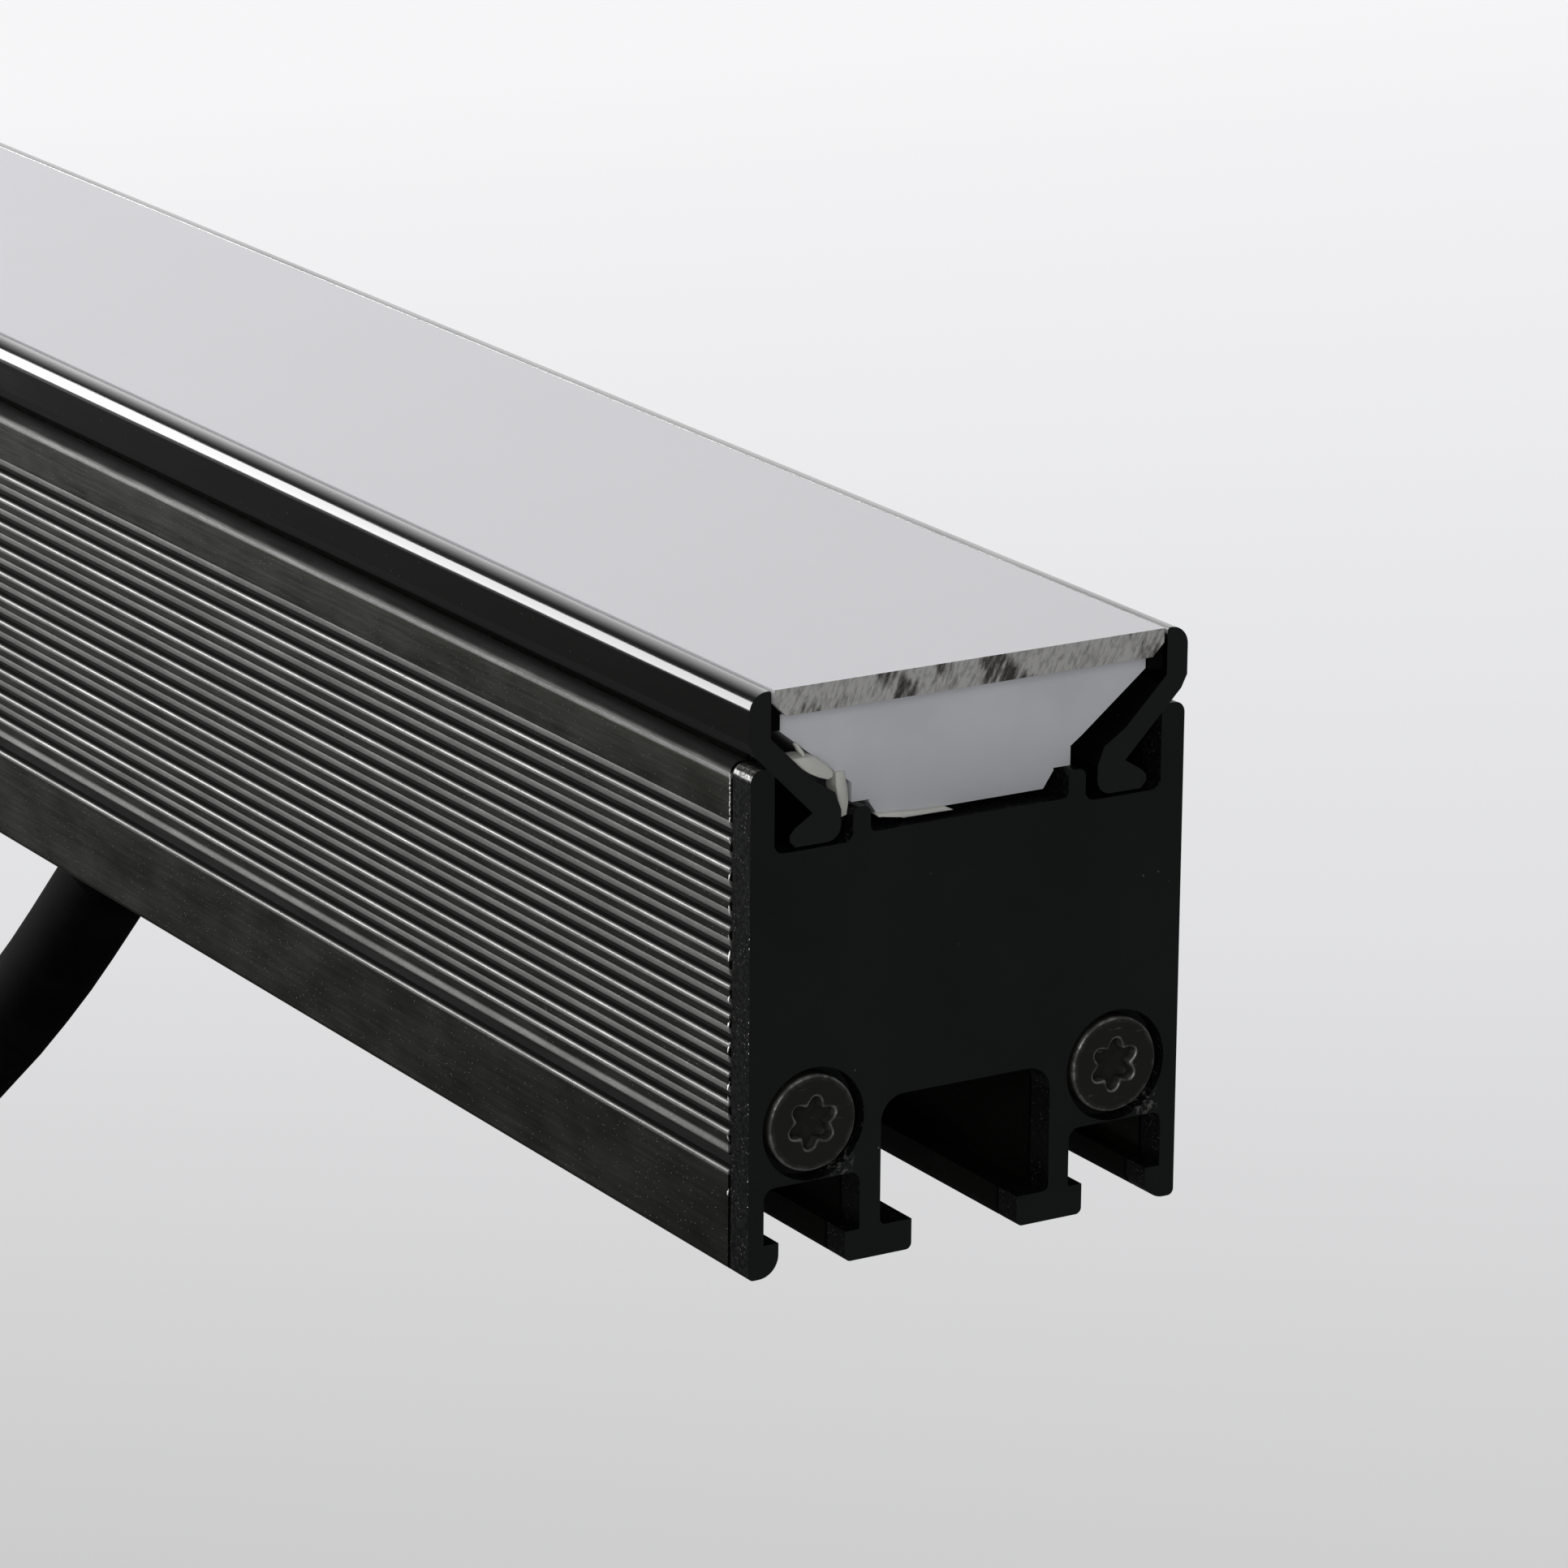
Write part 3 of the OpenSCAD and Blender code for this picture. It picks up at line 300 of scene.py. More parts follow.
class GrowBench(NodeBench):
    """Workbench for one Geometry Nodes tree, whose result becomes a plain mesh."""

    def __init__(self, name: str) -> None:
        """Starts a tree with one geometry output."""
        super().__init__(bpy.data.node_groups.new(name, "GeometryNodeTree"))
        self.tree.interface.new_socket("Geometry", in_out="OUTPUT", socket_type="NodeSocketGeometry")
        self._entry = self.tree.nodes.new("NodeGroupInput")
        self._given: dict[str, object] = {}

    def given(self, name: str, kind: str, value: object) -> Socket:
        """Adds a named input.

        Args:
            name: its name on the modifier.
            kind: its type, such as Float, Int, Vector, Object or Material.
            value: what it is set to.

        Returns:
            Its socket inside the tree.
        """
        made = self.tree.interface.new_socket(name, in_out="INPUT", socket_type=f"NodeSocket{kind}")
        self._given[made.identifier] = value
        return Socket(self, next(o for o in self._entry.outputs if o.identifier == made.identifier))

    def vector(self, x: "Socket | float", y: "Socket | float", z: "Socket | float") -> Socket:
        """Joins three numbers to a vector."""
        return self.node("ShaderNodeCombineXYZ", None, {0: x, 1: y, 2: z})

    def chance(self, low: "Socket | float", high: "Socket | float", seed: int) -> Socket:
        """A random number between two values for each point."""
        return self.node("FunctionNodeRandomValue", None, {2: low, 3: high, "Seed": seed}, 1)

    def join(self, *shapes: Socket) -> Socket:
        """Joins geometries.

        Args:
            shapes: what is joined.

        Returns:
            One geometry.
        """
        made = self.tree.nodes.new("GeometryNodeJoinGeometry")
        for shape in shapes:
            self.tree.links.new(shape.output, made.inputs[0])
        return Socket(self, made.outputs[0])

    def pattern(self, name: str, thing: bpy.types.Object) -> Socket:
        """Adds an input for a pattern, and gives the pattern's geometry."""
        held = self.given(name, "Object", thing)
        return self.node("GeometryNodeObjectInfo", None, {"Object": held}, "Geometry")

    def line(self, count: "Socket | int", start: "Socket | Point", offset: "Socket | Point") -> Socket:
        """Points in a line, from the first place and by one step each."""
        return self.node("GeometryNodeMeshLine", None,
                         {"Count": count, "Start Location": start, "Offset": offset})

    def copies(self, points: Socket, pattern: Socket, **more: Socket) -> Socket:
        """Instances of a pattern on points."""
        return self.node("GeometryNodeInstanceOnPoints", None,
                         {"Points": points, "Instance": pattern, **more})

    def spin(self, turn: Socket) -> Socket:
        """A rotation about X, in radians."""
        return self.node("FunctionNodeEulerToRotation", None, {0: self.vector(turn, 0.0, 0.0)})

    def both_ways(self, shape: Socket) -> Socket:
        """A geometry together with its copy turned half round about Z."""
        turned = self.node("GeometryNodeTransform", None, {0: shape, "Rotation": (0, 0, math.pi)})
        return self.join(shape, turned)

    def grow(self, shape: Socket, material: bpy.types.Material) -> bpy.types.Mesh:
        """Realises the instances, dresses them and takes the mesh.

        Args:
            shape: the geometry to keep.
            material: its finish.

        Returns:
            A plain mesh.
        """
        dress = self.given("Finish", "Material", material)
        real = self.node("GeometryNodeRealizeInstances", None, {0: shape})
        done = self.node("GeometryNodeSetMaterial", None, {"Geometry": real, "Material": dress})
        out = self.tree.nodes.new("NodeGroupOutput")
        self.tree.links.new(done.output, out.inputs[0])
        carrier = bpy.data.objects.new(self.tree.name, bpy.data.meshes.new(self.tree.name))
        bpy.context.scene.collection.objects.link(carrier)
        modifier = carrier.modifiers.new("grow", "NODES")
        modifier.node_group = self.tree
        for identifier, value in self._given.items():
            modifier[identifier] = value
        ready = carrier.evaluated_get(bpy.context.evaluated_depsgraph_get())
        mesh = bpy.data.meshes.new_from_object(ready)
        carrier.modifiers.clear()
        bpy.data.objects.remove(carrier)
        return mesh


@dataclass(frozen=True)
class Finish:
    """A finish with its plain values. Its subclass says what varies over the surface."""

    name: str
    colour: Colour
    roughness: float = 0.5
    metallic: float = 0.0
    specular: float = 0.5

    def vary(self, bench: PaintBench) -> dict:
        """What changes over the surface.

        Args:
            bench: the material's workbench.

        Returns:
            Links for the shader's sockets.
        """
        raise NotImplementedError

    def skin(self, bench: PaintBench, tone: Socket, rough: Socket, normal: Socket) -> dict:
        """The shader's links for a colour, for what the roughness gains, and for a normal."""
        return {"Base Color": tone, "Roughness": bench.clamp(rough + self.roughness), "Normal": normal}

    def make(self) -> bpy.types.Material:
        """Builds the material."""
        bench = PaintBench(self.name)
        plain = {"Metallic": self.metallic, "Specular IOR Level": self.specular}
        return bench.finish(plain | self.vary(bench))


@dataclass(frozen=True)
class AnodisedSkin(Finish):
    """Black anodised extrusion: drawn grain along X, sparkle, painted highlights on the rib and band edges,
    painted sheen on the upper band, and painted shade in the grooves and recesses.
    """

    rib_top: float = 34.8
    rib_pitch: float = 2.26
    groove: float = 1.15
    brink_z: float = 38.4
    last_rib_z: float = 9.6
    low_band_z: float = 7.75
    rib_foot: tuple[float, float] = (6.8, 7.2)
    face_y: tuple[float, float] = (18.6, 18.8)
    groove_mouth_y: tuple[float, float] = (18.9, 18.75)
    groove_floor_y: tuple[float, float] = (17.9, 18.1)
    inside_y: tuple[float, float] = (17.6, 17.2)
    top_y: tuple[float, float] = (17.6, 18.0)
    # Pale colour of the painted highlights on the rib and band edges.
    worn: Colour = (0.33, 0.33, 0.32)

    def vary(self, bench: PaintBench) -> dict:
        """What changes over the surface (see Finish.vary)."""
        grain = bench.noise(0.35, (22, 1, 1), 4)
        mottle = bench.noise(3.2, (2.2, 1, 1), 4, 3)
        sparkle = bench.specks(0.42, 0.16, (1.5, 1, 1))
        height = bench.axis("Z")
        across = abs(bench.axis("Y"))
        outside = bench.step(across, *self.face_y)
        ribs = (bench.step(height, *self.rib_foot)
                * bench.step(height, self.rib_top + 0.4, self.rib_top + 0.2))
        # Painted highlights: bright lines at the ribs' upper edges, on the lowest rib, at the band edges and
        # on the marked groove flanks; they take the pale colour and more metal.
        turn = bench.math("WRAP", self.rib_top - height, self.rib_pitch, 0.0)
        upper = bench.band(turn, self.groove + 0.2, 0.28, 0.06)
        lower = bench.band(height, self.last_rib_z, 0.42, 0.1)
        brink = (bench.band(height, self.brink_z, 0.3, 0.05) * 0.8
                 + bench.band(height, self.low_band_z, 0.28, 0.05) * 0.5)
        edge = outside * (ribs * (upper * 0.6 + lower * 0.85) + brink) + bench.mark(TINT_MARK)
        patchy = (bench.noise(1.6, (5, 1, 1), 4, 9) * 0.9 + bench.noise(0.3, (1.6, 1, 1), 2, 5) * 0.5
                  + 0.2)
        worn = bench.clamp(edge * patchy)
        # Painted shade: the groove floors, the inner faces and the top of the side walls are darkened.
        deep = ribs * bench.step(across, *self.groove_mouth_y) * bench.step(across, *self.groove_floor_y)
        hidden = deep * 0.95 + bench.step(across, *self.inside_y) * 0.7
        top = (bench.step(height, self.brink_z + 0.15, self.brink_z + 0.6)
               * bench.step(across, *self.top_y))
        shade = bench.clamp(top + hidden * (1 - bench.mark(TINT_MARK)))
        # Painted sheen: the upper band is lighter towards its top edge.
        sheen = outside * (bench.band(height, self.brink_z, 1.6, 0.2) * 0.8
                           + bench.band(height, self.brink_z - 1.9, 1.0, 0.1) * 0.35)
        tone = bench.mix(mottle, shaded(self.colour, 0.66), shaded(self.colour, 1.35))
        tone = bench.mix(sparkle * 0.8, tone, shaded(self.colour, 8))
        tone = bench.mix(bench.clamp(sheen), tone, shaded(self.colour, 3.2))
        tone = bench.mix(worn, tone, self.worn)
        tone = bench.mix(shade, tone, shaded(self.colour, 0.1))
        rough = (grain - 0.5) * 0.22 + (mottle - 0.5) * 0.35 + worn * 0.12 + shade * 0.5
        normal = bench.bump(grain + sparkle * 1.2 + mottle, 0.014)
        metal = bench.clamp(self.metallic + worn * 0.6)
        return self.skin(bench, tone, rough, normal) | {"Metallic": metal}


@dataclass(frozen=True)
class PlateSkin(Finish):
    """Matte black end plate: pale rubbed specks, scuffs by the screws, gritty sawn edges, and a painted
    highlight on the upper corners.
    """

    crest_z: float = 38.5
    crest_y: tuple[float, float] = (17.9, 18.5)
    scuff: tuple[float, float] = (13.6, 8.0)
    scuff_reach: tuple[float, float] = (1.5, 0.5)
    scuff_shift: float = 2.6
    rubbed: Colour = (0.17, 0.17, 0.16)

    def vary(self, bench: PaintBench) -> dict:
        """What changes over the surface (see Finish.vary)."""
        fine = bench.noise(0.3, detail=4)
        broad = bench.noise(9, detail=3, shift=5)
        rim = bench.step(abs(bench.facing("X")), 0.7, 0.3)
        specks = bench.specks(1.5, 0.03, shift=4) * bench.step(bench.noise(7, shift=1), 0.55, 0.62)
        rubbed = bench.step(bench.noise(1.8, detail=2, shift=9), 0.42, 0.6)
        grit = bench.specks(0.34, 0.3, shift=2) * rim * rubbed
        # Painted highlight: the upper corner rounding takes a pale grey, broken by noise, with some metal.
        crest = (bench.step(bench.axis("Z"), self.crest_z, self.crest_z + 0.3) * rim
                 * bench.step(abs(bench.axis("Y")), *self.crest_y))
        tone = bench.mix(broad, shaded(self.colour, 0.8), shaded(self.colour, 1.25))
        edge = bench.mix(bench.step(fine, 0.35, 0.7), shaded(self.colour, 0.15), shaded(self.colour, 0.6))
        tone = bench.mix(rim, tone, edge)
        tone = bench.mix(bench.clamp(specks + grit * 0.55 + self.scuffs(bench)), tone, self.rubbed)
        tone = bench.mix(crest * bench.step(fine, 0.3, 0.8), tone, DUST_AND_HIGHLIGHT_GREY)
        rough = (fine - 0.5) * 0.2 - crest * 0.2 - rim * 0.28
        normal = bench.bump(fine + grit, 0.012)
        return self.skin(bench, tone, rough, normal) | {"Metallic": bench.clamp(crest * 0.4)}

    def scuffs(self, bench: PaintBench) -> Socket:
        """Flaked scuffs beside each screw, towards the outer edge and below.

        Args:
            bench: the material's workbench.

        Returns:
            How far the skin is scuffed.
        """
        side = abs(bench.axis("Y") - self.scuff_shift) - self.scuff[0]
        rise = bench.axis("Z") - self.scuff[1]
        near = bench.math("SQRT", side * side + rise * rise)
        flakes = bench.step(bench.noise(0.5, (1, 1, 1), 4, 6, 0.7), 0.5, 0.6)
        return bench.step(near, *self.scuff_reach) * flakes * 0.8


@dataclass(frozen=True)
class GlossStrip(Finish):
    """Glossy strip: drawing lines, slight waves, dull sawn ends and a painted reflection on the crest beside
    the cover.
    """

    cut: Colour = (0.0125, 0.014, 0.0135)
    # Pale grey of the painted reflection on the crest.
    crest: Colour = (0.4, 0.4, 0.4)
    crest_z: float = 45.0
    crest_y: tuple[float, float] = (18.75, 17.6)

    def vary(self, bench: PaintBench) -> dict:
        """What changes over the surface (see Finish.vary)."""
        lines = bench.noise(0.28, (60, 1, 1), 2)
        wave = bench.noise(4, (5, 1, 1), 2, 7)
        dust = bench.specks(1.1, 0.03, shift=8) * 0.4
        cut = bench.sawn()
        crest = (bench.step(abs(bench.axis("Y")), *self.crest_y)
                 * bench.step(bench.axis("Z"), self.crest_z - 0.3, self.crest_z))
        tone = bench.mix(dust, self.colour, DUST_AND_HIGHLIGHT_GREY)
        # Painted reflection: the crest beside the cover is lightened to pale grey, varied by the waves.
        tone = bench.mix(crest * (0.6 + wave * 0.8), tone, self.crest)
        tone = bench.mix(cut, tone, self.cut)
        normal = bench.bump(lines, 0.004, bench.bump(wave, 0.03))
        return self.skin(bench, tone, (wave - 0.5) * 0.1 + dust * 0.3 + cut * 0.6, normal)


@dataclass(frozen=True)
class MilkyCover(Finish):
    """Frosted cover: cloudy body, smooth top, sawn ends with slanting tool marks."""

    cut: Colour = (0.44, 0.435, 0.425)
    burnt: Colour = (0.07, 0.063, 0.055)
    mid_z: float = 43.8
    lean: float = math.radians(24)
    zones: tuple[tuple[float, float, float], ...] = (
        (-15.5, 3.0, 0.17), (-11.6, 1.4, 0.14), (-6.2, 1.9, 0.3), (-1.5, 1.3, 0.13),
        (2.6, 2.6, 0.26), (16.8, 3.2, 0.2))

    def vary(self, bench: PaintBench) -> dict:
        """What changes over the surface (see Finish.vary)."""
        cloud = bench.noise(26, detail=2)
        end = bench.sawn()
        tears = bench.noise(1.5, (1, 0.7, 2.6), 5, 6, 0.65, self.lean)
        broad = bench.noise(7, (1, 1, 2), 2, 1, 0.5, self.lean)
        fine = bench.noise(0.35, (1, 0.8, 2.5), 3, 2, 0.6, self.lean)
        along = bench.axis("Y") + (bench.axis("Z") - self.mid_z) * 0.75
        zones = sum((bench.band(along, middle, reach, reach * 0.3) * depth
                     for middle, reach, depth in self.zones), broad * 0.3)
        dark = bench.clamp(bench.step(tears * 1.35 + zones * 0.8, 0.84, 1.1))
        sawn = bench.mix(dark, shaded(self.cut, 1.45), self.burnt)
        sawn = bench.mix(bench.step(fine, 0.45, 0.66) * 0.5, sawn, shaded(self.cut, 0.5))
        tone = bench.mix(cloud, shaded(self.colour, 0.985), shaded(self.colour, 1.015))
        normal = bench.bump((tears + fine * 0.5) * end, 0.05)
        return self.skin(bench, bench.mix(end, tone, sawn), end * 0.2 + fine * end * 0.2, normal)


@dataclass(frozen=True)
class MouldedSilicone(Finish):
    """Milky silicone with soft clouds, faint smears and a dull skin; the plugs are painted darker towards the
    bottom as painted shade.
    """

    cloud_mm: float = 7.0
    # Heights in mm over which the painted shade towards the bottom fades out.
    painted_shade_mm: tuple[float, float] = (-500.0, -499.0)

    def vary(self, bench: PaintBench) -> dict:
        """What changes over the surface (see Finish.vary)."""
        cloud = bench.noise(self.cloud_mm, detail=2, shift=3)
        smear = bench.noise(1.4, (1, 4, 1), 3, 6)
        tone = bench.mix(bench.step(cloud, 0.3, 0.7), shaded(self.colour, 0.96), shaded(self.colour, 1.04))
        # Painted shade: the colour darkens towards the bottom, below the given range of heights.
        tone = bench.mix(bench.step(bench.axis("Z"), *self.painted_shade_mm), shaded(self.colour, 0.8), tone)
        return self.skin(bench, tone, (smear - 0.5) * 0.2, bench.bump(smear, 0.012))


@dataclass(frozen=True)
class RubberSkin(Finish):
    """Drawn or moulded rubber: fine pits, dusty bloom."""

    def vary(self, bench: PaintBench) -> dict:
        """What changes over the surface (see Finish.vary)."""
        pits = bench.noise(0.25, detail=2)
        bloom = bench.noise(7, detail=3, shift=4)
        tone = bench.mix(bench.step(bloom, 0.4, 0.75), self.colour, shaded(self.colour, 1.7, 0.001))
        return self.skin(bench, tone, (bloom - 0.5) * 0.2, bench.bump(pits, 0.015))


@dataclass(frozen=True)
class ScrewSteel(Finish):
    """Turned steel: rubbed rims that also carry a painted highlight, fine scratches across the head."""

    worn: Colour = (0.45, 0.45, 0.44)

    def vary(self, bench: PaintBench) -> dict:
        """What changes over the surface (see Finish.vary)."""
        scratch = bench.noise(0.5, (1, 6, 0.4), 4)
        patch = bench.noise(1.6, detail=3, shift=2)
        rubbed = bench.step(scratch, 0.62, 0.72) * bench.step(patch, 0.5, 0.65) * 0.35
        # Rims and recess edge: the tint mark lightens them, partly as rubbing and partly as a painted
        # highlight.
        edge = bench.mark(TINT_MARK) * (0.2 + bench.step(bench.noise(0.9, shift=5), 0.42, 0.62) * 0.8)
        worn = bench.clamp(rubbed + edge)
        tone = bench.mix(worn, self.colour, self.worn)
        metal = bench.clamp(self.metallic + worn)
        return self.skin(bench, tone, (patch - 0.5) * 0.3, bench.bump(scratch, 0.012)) | {"Metallic": metal}


@dataclass(frozen=True)
class BareChip(Finish):
    """Bare light metal where the black skin has chipped, dull and uneven."""

    def vary(self, bench: PaintBench) -> dict:
        """What changes over the surface (see Finish.vary)."""
        tear = bench.noise(0.15, detail=2)
        tone = bench.mix(bench.step(tear, 0.35, 0.65), shaded(self.colour, 0.55), self.colour)
        return self.skin(bench, tone, (tear - 0.5) * 0.3, bench.bump(tear, 0.03))


@dataclass(frozen=True)
class PackageFace(Finish):
    """White package whose pool of phosphor is yellow and a little glossier."""

    pool: Colour = (0.86, 0.62, 0.09)

    def vary(self, bench: PaintBench) -> dict:
        """What changes over the surface (see Finish.vary)."""
        pool = bench.mark(TINT_MARK)
        grit = bench.noise(0.12, detail=2)
        tone = bench.mix(grit, shaded(self.colour, 0.92), self.colour)
        glow = bench.mix(grit, shaded(self.pool, 0.85), self.pool)
        return self.skin(bench, bench.mix(pool, tone, glow), pool * -0.15, bench.bump(grit, 0.008))


@dataclass(frozen=True)
class CircuitBoard(Finish):
    """Solder mask over copper tracks that show as faint raised lines, with bright pads."""

    pad: Colour = (0.62, 0.6, 0.55)
    tracks_per_m: Point = (260, 420, 1)

    def vary(self, bench: PaintBench) -> dict:
        """What changes over the surface (see Finish.vary)."""
        spot = bench.node("ShaderNodeMapping", None, {"Vector": bench.place, "Scale": self.tracks_per_m})
        tracks = bench.node("ShaderNodeTexVoronoi", {"distance": "MANHATTAN"},
                            {"Vector": spot, "Scale": 1.0, "Randomness": 0.6})
        line = bench.band(tracks, 0.42, 0.09, 0.05)
        pads = bench.step(tracks, 0.12, 0.09)
        tone = bench.mix(line, self.colour, shaded(self.colour, 1.35, 0.01))
        rough = (bench.noise(2) - 0.5) * 0.1 - pads * 0.1
        skin = self.skin(bench, bench.mix(pads, tone, self.pad), rough, bench.bump(line + pads, 0.03))
        return skin | {"Metallic": pads * 0.8}


class Look(Enum):
    """Finishes of the light, by the record's material slots."""

    ANODISED = AnodisedSkin("anodised_black", (0.0066, 0.0067, 0.0044), 0.35, 0.0, 0.13)
    PLATE = PlateSkin("plate_black", (0.0168, 0.0188, 0.0179), 0.6, 0.0, 0.07)
    SEAL = RubberSkin("seal_black", (0.002, 0.002, 0.002), 0.8, 0.0, 0.05)
    SCREW = ScrewSteel("screw_black", (0.024, 0.024, 0.021), 0.45, 0.0, 0.12)
    STEEL = ScrewSteel("screw_steel", (0.42, 0.42, 0.42), 0.35, 1.0, 0.5)
    CLIP = GlossStrip("clip_gloss_black", (0.0016, 0.0016, 0.0013), 0.12, 0.0, 0.3)
    COVER = MilkyCover("cover_milky", (0.64, 0.635, 0.66), 0.35, 0.0, 0.3)
    TROUGH = MouldedSilicone("trough_white", (0.78, 0.78, 0.76), 0.5)
    # The plug's last two numbers are the heights over which its painted shade towards the bottom fades out.
    PLUG = MouldedSilicone("plug_milky", (0.82, 0.83, 0.87), 0.5, 0.0, 0.3, 7.0, (32.0, 41.0))
    SEALANT = MouldedSilicone("sealant_cream", (0.8, 0.8, 0.74), 0.45, 0.0, 0.3, 1.5)
    PAD = RubberSkin("pad_grey", (0.32, 0.36, 0.4), 0.7)
    LED_BOARD = CircuitBoard("board_white", (0.74, 0.74, 0.7), 0.42)
    PHOSPHOR = PackageFace("phosphor", (0.8, 0.8, 0.77), 0.4)
    CHIP = BareChip("bare_chip", (0.9, 0.9, 0.88), 0.45, 0.6)
    WIRE = RubberSkin("wire_insulation", (0.2, 0.02, 0.016), 0.45)
    TRAY = MouldedSilicone("tray_clear", (0.55, 0.55, 0.52), 0.4)
    DRIVER_BOARD = CircuitBoard("board_green", (0.02, 0.13, 0.05), 0.35)
    FERRITE = RubberSkin("ferrite", (0.03, 0.03, 0.033), 0.55)
    SLEEVE = GlossStrip("capacitor_sleeve", (0.012, 0.02, 0.09), 0.25)
    TERMINAL = MouldedSilicone("terminal_green", (0.02, 0.17, 0.055), 0.45)
    NYLON = RubberSkin("gland_nylon", (0.012, 0.012, 0.012), 0.5)
    CABLE = RubberSkin("cable_rubber", (0.0018, 0.0021, 0.0018), 0.8, 0.0, 0.03)
    O_RING = RubberSkin("o_ring_red", (0.2, 0.025, 0.014), 0.5)
    GOLD = ScrewSteel("contact_gold", (0.75, 0.52, 0.17), 0.25, 1.0, 0.5)


class Wardrobe:
    """Makes each finish once and hands it out."""

    def __init__(self) -> None:
        """Starts with no material made."""
        self._made: dict[Look, bpy.types.Material] = {}

    def get(self, look: Look) -> bpy.types.Material:
        """The material of a look.

        Args:
            look: the look.

        Returns:
            Its material, made at the first call.
        """
        if look not in self._made:
            self._made[look] = look.value.make()
        return self._made[look]

    def dress_node(self, node: str, look: Look) -> None:
        """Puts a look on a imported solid.

        Args:
            node: the solid's name.
            look: its look.
        """
        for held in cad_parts[node].material_slots:
            held.material = self.get(look)


def add_piece(name: str, mesh: bpy.types.Mesh, material: bpy.types.Material) -> bpy.types.Object:
    """Puts a finished mesh in the scene.

    Args:
        name: name of the piece.
        mesh: its mesh, in place in the row frame.
        material: its finish.

    Returns:
        The new object, at the origin.
    """
    mesh.name = name
    mesh.materials.clear()
    mesh.materials.append(material)
    piece = bpy.data.objects.new(name, mesh)
    bpy.context.scene.collection.objects.link(piece)
    return piece


def take_mesh(name: str, shape: bmesh.types.BMesh, angle: float | None = 40) -> bpy.types.Mesh:
    """Turns a finished shape into a mesh.

    Args:
        name: name of the mesh.
        shape: the shape, which is used up.
        angle: edges sharper than this many degrees stay sharp; None leaves the mesh flat.

    Returns:
        The mesh.
    """
    mesh = bpy.data.meshes.new(name)
    shape.to_mesh(mesh)
    shape.free()
    if angle is not None:
        mesh.shade_smooth()
        mesh.set_sharp_from_angle(angle=math.radians(angle))
    return mesh


def prism(shape: bmesh.types.BMesh, rows: list[list[bmesh.types.BMVert]]) -> list[bmesh.types.BMFace]:
    """Closes two equal rows of points to a prism.

    Args:
        shape: mesh that receives it.
        rows: the outline at the one end and at the other.

    Returns:
        Its faces.
    """
    first, last = rows
    made = [shape.faces.new(first), shape.faces.new(list(reversed(last)))]
    for step, point in enumerate(first):
        after = (step + 1) % len(first)
        made.append(shape.faces.new((point, last[step], last[after], first[after])))
    return made


class Assembly:
    """A part of the light that this scene makes or dresses."""

    def build(self, wardrobe: Wardrobe) -> None:
        """Makes the pieces and puts them on their body.

        Args:
            wardrobe: hands out the finishes.
        """
        raise NotImplementedError


@dataclass(frozen=True)
class Ring:
    """One ring of a lathed piece: outline in mm by angle, place along the axis, and its share of the finish's
    tint.
    """

    outline: Callable[[float], float]
    rise: float
    worn: float = 0.0


def hoop(radius: float, rise: float, worn: float = 0.0) -> Ring:
    """A round ring."""
    return Ring(lambda turn: radius, rise, worn)


def lathe(name: str, rings: list[Ring], count: int, axis: int) -> bpy.types.Object:
    """Joins rings to a closed pattern piece for instances.

    Args:
        name: name of the pattern.
        rings: rings in order, the first and the last of no radius.
        count: points round each ring.
        axis: 0 for a piece along X, 2 for one along Z.

    Returns:
        An object outside the scene.
    """
    shape = bmesh.new()
    layer = shape.verts.layers.float.new(TINT_MARK)
    loops = []
    for ring in rings:
        loop = []
        for step in range(count):
            turn = math.tau * step / count
            reach = ring.outline(turn) * MM
            spot = [reach * math.cos(turn), reach * math.sin(turn)]
            spot.insert(axis, ring.rise * MM)
            point = shape.verts.new(spot)
            point[layer] = ring.worn
            loop.append(point)
        loops.append(loop)
    for low, high in zip(loops, loops[1:]):
        for step in range(count):
            after = (step + 1) % count
            shape.faces.new((low[step], low[after], high[after], high[step]))
    bmesh.ops.remove_doubles(shape, verts=shape.verts, dist=SAME_PLACE)
    bmesh.ops.recalc_face_normals(shape, faces=shape.faces)
    return bpy.data.objects.new(name, take_mesh(name, shape))


